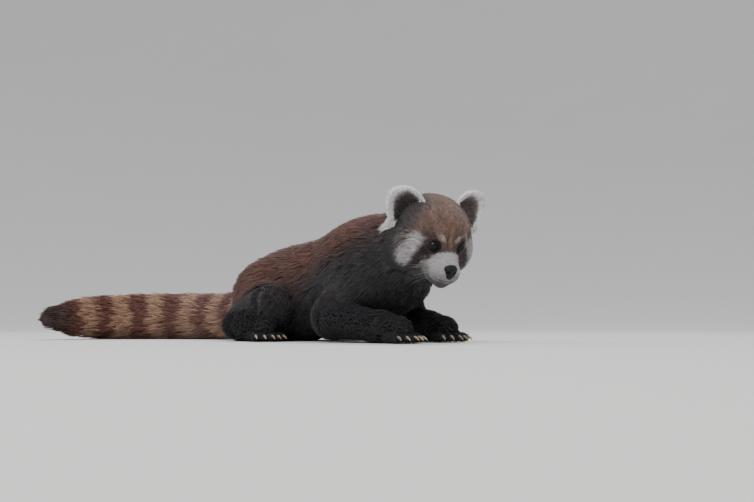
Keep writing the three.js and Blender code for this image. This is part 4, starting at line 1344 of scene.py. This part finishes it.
def earHalf(b):
    v = np.clip(b / ear["height"], 0, 1)
    below = np.clip(-b / (ear["sunk"] * ear["height"]), 0, 1)
    return ear["halfWidth"] * np.sqrt(np.maximum(1 - v ** 2.6, 0)) * (1 - 0.45 * below)


def earCup(a, b):
    sideways = np.minimum(np.abs(a) / ear["halfWidth"], 1.15)
    return ear["cup"] * sideways ** 2 * (1 - 0.35 * b / ear["height"]) - ear["cupBack"]


def onEar(plan, a, b, off):
    # a sideways, b upwards and off forwards of the leaf, in millimetres, to a place on the body
    q = plan["foot"] + a[..., None] * plan["across"] + b[..., None] * plan["rise"]
    q = q + off[..., None] * plan["facing"]
    return (pose["headCentre"] + (q / 1000) @ headAxes.T).astype(np.float32)


def rimRadius(angle):
    r = np.full(len(angle), 6.0)
    for _ in range(90):
        a, b = rimPlace(angle, r)
        inside = (b < ear["height"]) & (np.abs(a) < earHalf(b))
        r = np.where(inside, r + 0.5, r)
    return r


def earThick(x, v):
    return ear["thick"] / 2 * np.sqrt(1.04 - 0.94 * x * x) * (1 - 0.45 * v) + 0.3


def earShell(plan):
    columns, rows = ear["columns"], ear["rows"]
    x, v = np.meshgrid(np.linspace(-1, 1, columns), np.linspace(0, 1, rows), indexing="ij")
    b = (-ear["sunk"] + (1 + ear["sunk"]) * v) * ear["height"]
    a = x * np.maximum(earHalf(b), 1.0)
    front = onEar(plan, a, b, earCup(a, b) + earThick(x, v))
    rear = onEar(plan, a, b, earCup(a, b) - earThick(x, v))
    points = np.concatenate([front.reshape(-1, 3), rear.reshape(-1, 3)])
    at = np.arange(columns * rows).reshape(columns, rows)
    under = at + columns * rows
    quads = []
    for grid, flip in ((at, plan["side"] > 0), (under, plan["side"] < 0)):
        loop = np.stack([grid[:-1, :-1], grid[1:, :-1], grid[1:, 1:], grid[:-1, 1:]], -1).reshape(-1, 4)
        quads.append(loop[:, ::-1] if flip else loop)
    rim = np.concatenate([at[0, :], at[1:, -1], at[-1, -2::-1], at[-2:0:-1, 0]])
    low = rim + columns * rows
    band = np.stack([rim, np.roll(rim, -1), np.roll(low, -1), low], 1)
    quads.append(band if plan["side"] > 0 else band[:, ::-1])
    quads = np.concatenate(quads)
    n = np.cross(points[quads[:, 2]] - points[quads[:, 0]], points[quads[:, 3]] - points[quads[:, 1]])
    frontCount = (columns - 1) * (rows - 1)
    if (n[:frontCount] @ (plan["facing"] @ headAxes.T)).mean() < 0:
        quads = quads[:, ::-1]
    return points, quads


def earColours(plan, a, b, front):
    up = b - ear["middle"]
    angle = np.arctan2(a, up)
    fromRim = rimRadius(angle) - np.hypot(a, up)
    band = bandAt(plan, np.degrees(angle))
    # the hollow's colour, with painted light on the far ear
    hollowLight = np.tile(tint["earInside"] * plan["hollowLight"], (len(a), 1))
    inside = mixed(hollowLight, tint["earGrey"], smooth(band + 3.5, band - 3, fromRim))
    inside = mixed(inside, tint["earWhite"], smooth(band * 0.85, band * 0.45, fromRim) * smooth(0, 5, band))
    back = np.tile(tint["earBack"], (len(a), 1))
    outside = mixed(back, tint["earWhite"], smooth(6, 2.5, fromRim) * smooth(0, 5, band))
    return np.where(front[:, None], inside, outside)


def earTufts(plan, rng):
    # returns paths, up vectors, widths and colours of every tuft of one ear
    groups = []

    def grow(a, b, off, ends, length, width, colour, sag=0.0):
        # ends: how far sideways, upwards and forwards each tuft runs for its length
        count = len(a)
        run = np.linspace(0, 1, 3)[None, :]
        reach = (length * rng.uniform(0.8, 1.15, count))[:, None] * run
        pa, pb, pf = (at[:, None] + way[:, None] * reach for at, way in zip((a, b, earCup(a, b) + off), ends))
        pb = pb - sag * np.sin(run * math.pi)
        up = np.tile(plan["facing"] @ headAxes.T, (count, 3, 1)) * np.sign(off + 0.001)[:, None, None]
        widths = np.full(count, width / 1000) * rng.uniform(0.7, 1.3, count)
        if colour.ndim == 1:
            colour = np.tile(colour, (count, 1))
        groups.append((onEar(plan, pa, pb, pf), up, widths, colour))

    def rim():
        n = ear["rimTufts"]
        degrees = rng.uniform(-116, 109, n)
        angle = np.radians(degrees)
        depth = rng.uniform(0.2, 4.6, n)
        r = rimRadius(angle) - depth
        wander = ripple(np.stack([r * np.cos(angle), r * np.sin(angle), r * 0], 1) / 1000, 9, 31)
        aim = angle + 0.12 * wander + rng.normal(0, 0.1, n)
        beyond = np.interp(degrees, ear["fringeAngles"], plan["fringe"])
        ends = (np.sin(aim), np.cos(aim), rng.normal(0.05, 0.12, n))
        length = 0.8 * depth + beyond
        grow(*rimPlace(angle, r), rng.uniform(-1.8, 2.4, n), ends, length, 1.2, tint["earWhite"])

    def paleBand():
        n = ear["bandTufts"]
        degrees = rng.uniform(-118, 107, n)
        angle = np.radians(degrees)
        r = rimRadius(angle) - 0.5 - (bandAt(plan, degrees) + 1) * rng.random(n)
        aim = angle + rng.normal(0, 0.22, n)
        a, b = rimPlace(angle, r)
        shade = earColours(plan, a + rng.normal(0, 1, n), b + rng.normal(0, 1, n), np.ones(n, bool))
        ends = (0.9 * np.sin(aim), 0.9 * np.cos(aim), rng.uniform(0.08, 0.32, n))
        grow(a, b, np.full(n, 1.6), ends, np.minimum(rimRadius(angle) - r + 0.8, 6), 1.1, shade)

    def outerTuft():
        n = ear["outerTufts"]
        t = rng.random(n)
        a, b = 25.5 - 7 * t * rng.random(n), 12 - 17 * t
        ends = [ear["tuftTip"][0] - a, ear["tuftTip"][1] - b, rng.normal(-3, 1.5, n)]
        far = np.hypot(ends[0], ends[1])
        ends = [e / far + rng.normal(0, 0.07, n) for e in ends]
        far = far * plan["tuft"] * rng.uniform(0.3, 1, n)
        grow(a, b, rng.uniform(-2, 2, n), ends, far, 1.1, tint["earWhite"], 4)

    def innerTuft():
        n = ear["innerTufts"]
        a, b = rng.uniform(-27, -18, n), rng.uniform(-1, 8, n)
        ends = (rng.normal(0.2, 0.12, n), rng.normal(-0.8, 0.1, n), rng.uniform(0.2, 0.5, n))
        grow(a, b, rng.uniform(2, 4.5, n), ends, np.full(n, 7.0), 1.2, tint["earWhite"])

    def darkHollow():
        n = ear["hollowTufts"]
        angle = rng.uniform(-math.pi, math.pi, n)
        r = np.maximum(rimRadius(angle) - bandAt(plan, np.degrees(angle)), 1) * np.sqrt(rng.random(n))
        a, b = rimPlace(angle, r)
        shade = earColours(plan, a, b, np.ones(n, bool)) * rng.uniform(0.7, 1.5, (n, 1))
        ends = (0.5 * np.sign(a) + rng.normal(0, 0.4, n), rng.uniform(0.2, 1, n), rng.uniform(0.2, 0.6, n))
        grow(a, b, np.full(n, 2.0), ends, np.full(n, 5.0), 1.1, shade)

    def frontEdge():
        n = ear["edgeTufts"]
        a = rng.uniform(-19, -10, n)
        b = rng.uniform(-4, 6, n)
        ends = (rng.uniform(0.35, 0.95, n), rng.uniform(0.2, 0.7, n), rng.uniform(0.2, 0.5, n))
        grow(a, b, np.full(n, 2.5), ends, np.full(n, 9.0), 0.6, tint["temple"] * 1.6)

    def backOfEar():
        n = ear["backTufts"]
        angle = np.radians(rng.uniform(-120, 140, n))
        edge = rimRadius(angle)
        r = edge * np.sqrt(rng.random(n))
        a, b = rimPlace(angle, r)
        aim = angle + rng.normal(0, 0.2, n)
        ends = (np.sin(aim) * 0.9, np.cos(aim) * 0.9 + 0.2, rng.uniform(-0.3, -0.08, n))
        shade = earColours(plan, a, b, np.zeros(n, bool))
        grow(a, b, np.full(n, -1.9), ends, np.minimum(edge - r + 1.5, 7), 1.5, shade)

    for growGroup in (rim, paleBand, outerTuft, innerTuft, darkHollow, frontEdge, backOfEar):
        growGroup()
    return [np.concatenate([group[k] for group in groups]) for k in range(4)]


for side, word in ((-1, "right"), (1, "left")):
    plan = earPlan(side)
    points, quads = earShell(plan)
    leaf = meshPiece("earLeaf_" + word, points, quads, hideFinish)
    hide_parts("ear_" + word)
    q = toHead(points) - plan["foot"]
    isFront = np.arange(len(points)) < len(points) // 2
    paint(leaf, earColours(plan, q @ plan["across"], q @ plan["rise"], isFront) * ear["shade"])
    rng = np.random.default_rng(500 + side)
    paths, ups, widths, colours = earTufts(plan, rng)
    local = toHead(paths[:, 0]) - plan["foot"]
    a, b = local @ plan["across"], local @ plan["rise"]
    u = 0.5 + a / ear["map"]
    v = 0.5 + (b - 16) / ear["map"]
    isBack = local @ plan["facing"] < earCup(a, b)
    u = np.where(isBack, u / 2, 0.5 + u / 2)        # back on the left half, front on the right
    bladeMesh("earCoat_" + word, paths, ups, widths.astype(np.float32), colours, np.stack([u, v], 1),
              furFinish["ear"], rng, 0.1)


# Eyes

def roundMesh(rings, segments):
    # unit sphere about +z, as points and triangles
    lat = np.linspace(0, math.pi, rings + 1)[1:-1]
    lon = np.linspace(0, 2 * math.pi, segments, endpoint=False)
    grid = np.stack([np.sin(lat)[:, None] * np.cos(lon), np.sin(lat)[:, None] * np.sin(lon),
                     np.repeat(np.cos(lat)[:, None], segments, 1)], -1).reshape(-1, 3)
    points = np.concatenate([[[0, 0, 1]], grid, [[0, 0, -1]]])
    triangles = []
    last = len(points) - 1
    for j in range(segments):
        k = (j + 1) % segments
        triangles.append((0, 1 + j, 1 + k))
        for i in range(rings - 2):
            a, b = 1 + i * segments + j, 1 + i * segments + k
            triangles += [(a, a + segments, b + segments), (a, b + segments, b)]
        base = 1 + (rings - 2) * segments
        triangles.append((base + j, last, base + k))
    return points.astype(np.float32), np.array(triangles)


eyeFinish = eyeMaterial()
for side, word in ((-1, "right"), (1, "left")):
    ballPoints, ballTriangles = roundMesh(36, 48)
    centre, gaze = eyes[side]
    up, left = eyeFrame(gaze)
    offGaze = np.degrees(np.arccos(np.clip(ballPoints[:, 2], -1, 1)))
    radius = eye["radius"] + 0.5 * smooth(46, 20, offGaze)         # cornea
    local = ballPoints * radius[:, None] / 1000
    points = centre + local[:, 0:1] * left + local[:, 1:2] * up + local[:, 2:3] * gaze
    eyeball = meshPiece("eyeball_" + word, points, ballTriangles, eyeFinish)
    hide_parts("eye_" + word)
    layer = eyeball.data.attributes.new("offGaze", "FLOAT", "POINT")
    layer.data.foreach_set("value", (offGaze / 90).astype(np.float32))


# Nose pad, with the nostrils, the slit at its side and the groove down its middle

nosePad = {
    "centre": (73, 0, -22),
    "room": 19,
    "step": 0.55,
    "nostril": (79, 4.8, -21.5),
    "nostrilSize": (4.2, 2.5, 2.1),
    "slit": (76, 8.4, -24.0),
    "slitSize": (4.5, 2.6, 1.0),
    "groove": 0.9,
    # near-black leather, with a blue tint that is a painted reflection of the sky
    "colour": (10, 13, 20),
    "pebble": 1500,
}


def noseShape(p):
    q = toHead(p)
    d = noseField(0.6)(p) * 1000
    m = np.stack([q[:, 0], np.abs(q[:, 1]), q[:, 2]], 1)
    for name, deep in (("nostril", 2.0), ("slit", 1.2)):
        off = np.linalg.norm((m - np.array(nosePad[name])) / np.array(nosePad[name + "Size"]), axis=1) - 1
        d = np.maximum(d, -off * deep)
    d = d + nosePad["groove"] * np.exp(-(q[:, 1] / 0.8) ** 2) * smooth(-18, -22, q[:, 2])
    return (d / 1000).astype(np.float32)


noseAt = fromHead(*nosePad["centre"]) * 1000
nosePoints, noseQuads = drawField(noseShape, noseAt - nosePad["room"], noseAt + nosePad["room"],
                                  nosePad["step"])
nose = meshPiece("nosePad", nosePoints, noseQuads,
                 leatherMaterial("noseLeatherSkySheen", nosePad["colour"], 0.55, nosePad["pebble"], 0.0003))
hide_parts("nose")
print("eyes, ears and nose")


# Claws and whiskers: tapered horns along a curve

def hornMesh(lines, radii, sides):
    # lines: horns x stations x 3, radii: horns x stations
    count, stations = lines.shape[:2]
    along = unit(np.gradient(lines, axis=1))
    across = unit(np.cross(along, np.array([0.02, 0.03, 1], np.float32)))
    above = np.cross(across, along)
    turn = np.arange(sides) * 2 * math.pi / sides
    ring = across[:, :, None] * np.cos(turn)[:, None] + above[:, :, None] * np.sin(turn)[:, None]
    points = (lines[:, :, None] + ring * radii[:, :, None, None]).reshape(count, -1, 3)
    faces = []
    for i in range(stations - 1):
        for j in range(sides):
            k = (j + 1) % sides
            a, b = i * sides + j, i * sides + k
            faces += [(a, b, b + sides), (a, b + sides, a + sides)]
    end = (stations - 1) * sides
    for j in range(1, sides - 1):
        faces += [(0, j + 1, j), (end, end + j, end + j + 1)]
    faces = np.array(faces)[:, ::-1]
    triangles = (faces[None] + (np.arange(count) * stations * sides)[:, None, None]).reshape(-1, 3)
    return points.reshape(-1, 3).astype(np.float32), triangles


clawLines, clawRadii = [], []
t = np.linspace(0, 1, 9)
for plan in legs:
    for rootPlace, tip, aim in plan["toes"]:
        start = tip + aim * mm(paw["toeRadius"] - 6.5)
        line = start + np.outer(t * paw["claw"] * (1 - 0.15 * t), aim) / 1000
        line[:, 2] += (1.6 - 5.2 * t * t) / 1000
        clawLines.append(line)
        clawRadii.append(paw["clawRadius"] * np.sqrt(np.clip(1.02 - t, 0.02, 1)) / 1000)
clawPoints, clawFaces = hornMesh(np.array(clawLines, np.float32), np.array(clawRadii, np.float32), 10)
clawFinish = leatherMaterial("clawHorn", (150, 136, 118), 0.35, 600, 0.0001)
meshPiece("claws", clawPoints, clawFaces, clawFinish)

whisker = {"perSide": 9, "length": (26, 52), "radius": 0.15, "droop": 0.4, "seed": 77}
rng = np.random.default_rng(whisker["seed"])
whiskerLines = []
for side in (-1, 1):
    for i in range(whisker["perSide"]):
        row, place = i % 3, i // 3
        start = fromHead(66 - place * 4.5, side * (16 + place * 1.6), -22 - row * 4.0)[None]
        start = settle(skinField, start, rounds=3)[0]
        way = headWay(-0.45 - 0.1 * place, side * (0.95 - 0.1 * row), -0.05 - 0.22 * row)
        length = rng.uniform(*whisker["length"])
        t = np.linspace(-0.03, 1, 9)[:, None]
        line = start + way / np.linalg.norm(way) * t * length / 1000
        line = line + headWay(-0.5, 0, -0.75) * (t * t * length * whisker["droop"] / 1000)
        whiskerLines.append(line)
whiskerLines = np.array(whiskerLines, np.float32)
taper = np.linspace(1, 0.15, 9)[None] * np.ones((len(whiskerLines), 1)) * whisker["radius"] / 1000
whiskerPoints, whiskerFaces = hornMesh(whiskerLines, taper.astype(np.float32), 5)
meshPiece("whiskers", whiskerPoints, whiskerFaces,
          leatherMaterial("whiskerHair", (190, 184, 178), 0.4, 400, 0.00005))
print("claws and whiskers")


# Studio: one pale bowl for floor and wall, soft lights, and the photo's camera

studio = {"floorRadius": 2.4, "curve": 3.6, "wall": 1.2, "grey": (216, 215, 213)}


def studioFloor():
    radius, curve = studio["floorRadius"], studio["curve"]
    profile = [(0.6, 0.0), (2.0, 0.0), (radius, 0.0)]
    for i in range(1, 13):
        a = math.pi / 2 * i / 12
        profile.append((radius + curve * math.sin(a), curve * (1 - math.cos(a))))
    profile.append((radius + curve, curve + studio["wall"]))
    turns = 96
    mesh = bmesh.new()
    rows = []
    for r, z in profile:
        rows.append([mesh.verts.new((r * math.cos(a), r * math.sin(a), z))
                     for a in np.linspace(0, 2 * math.pi, turns, endpoint=False)])
    middle = mesh.verts.new((0, 0, 0))
    for j in range(turns):
        k = (j + 1) % turns
        mesh.faces.new((middle, rows[0][j], rows[0][k]))
        for lower, upper in zip(rows, rows[1:]):
            mesh.faces.new((lower[j], upper[j], upper[k], lower[k]))
    data = bpy.data.meshes.new("floor")
    mesh.to_mesh(data)
    mesh.free()
    for face in data.polygons:
        face.use_smooth = True
    floor = bpy.data.objects.new("floor", data)
    bpy.context.scene.collection.objects.link(floor)
    material, tree, surface = newMaterial("paleFloor")
    place = node(tree, "ShaderNodeTexCoord")
    noise = node(tree, "ShaderNodeTexNoise", Scale=3.0, Detail=5.0)
    tree.links.new(place.outputs["Object"], noise.inputs["Vector"])
    pale = linear(*studio["grey"])
    colourBy(tree, surface, noise.outputs["Fac"], [(0, pale * 0.97), (1, pale)])
    setSockets(surface, {"Roughness": 0.8, "Specular IOR Level": 0.2})
    data.materials.append(material)


def softLight(name, place, target, size, power, colour):
    data = bpy.data.lights.new(name, "AREA")
    data.shape = "DISK"
    data.size = size
    data.energy = power
    data.color = colour
    lamp = bpy.data.objects.new(name, data)
    lamp.location = place
    lamp.rotation_mode = "QUATERNION"
    lamp.rotation_quaternion = (Vector(target) - Vector(place)).to_track_quat("-Z", "Y")
    bpy.context.scene.collection.objects.link(lamp)


studioFloor()
world = bpy.data.worlds.new("studio")
world.use_nodes = True
world.node_tree.nodes["Background"].inputs["Color"].default_value = (0.93, 0.96, 1.0, 1)
world.node_tree.nodes["Background"].inputs["Strength"].default_value = 0.85
bpy.context.scene.world = world
headAt = Vector((pose["headCentre"] + shift).tolist())
trunkAt = (0, 0, 0.1)
softLight("key", (1.6, -1.9, 2.4), headAt, 1.6, 62, (1.0, 0.985, 0.96))
softLight("fill", (-1.9, -1.7, 1.5), trunkAt, 2.0, 20, (0.95, 0.97, 1.0))
softLight("top", (-0.3, 1.3, 2.6), trunkAt, 1.8, 40, (1, 1, 1))

camera = {"turn": 47, "distance": 2.0, "height": 0.035, "focal": 1379.3, "frame": (754, 502),
          "headPixel": (432.1, 238.7), "horizon": 319.4}


def placeCamera():
    turn = math.radians(camera["turn"])
    right = Vector((math.cos(turn), math.sin(turn), 0))
    back = Vector((math.sin(turn), -math.cos(turn), 0))
    data = bpy.data.cameras.new("camera")
    data.sensor_width = 36
    data.lens = camera["focal"] * 36 / camera["frame"][0]
    data.clip_start, data.clip_end = 0.05, 60
    seen = bpy.data.objects.new("camera", data)
    place = headAt + back * camera["distance"]
    place.z = camera["height"]
    sideways = (camera["frame"][0] / 2 - camera["headPixel"][0]) / camera["focal"]
    upwards = (camera["horizon"] - camera["frame"][1] / 2) / camera["focal"]
    aim = -back + right * sideways + Vector((0, 0, upwards))
    seen.location = place
    seen.rotation_mode = "QUATERNION"
    seen.rotation_quaternion = aim.to_track_quat("-Z", "Y")
    bpy.context.scene.collection.objects.link(seen)
    bpy.context.scene.camera = seen


placeCamera()
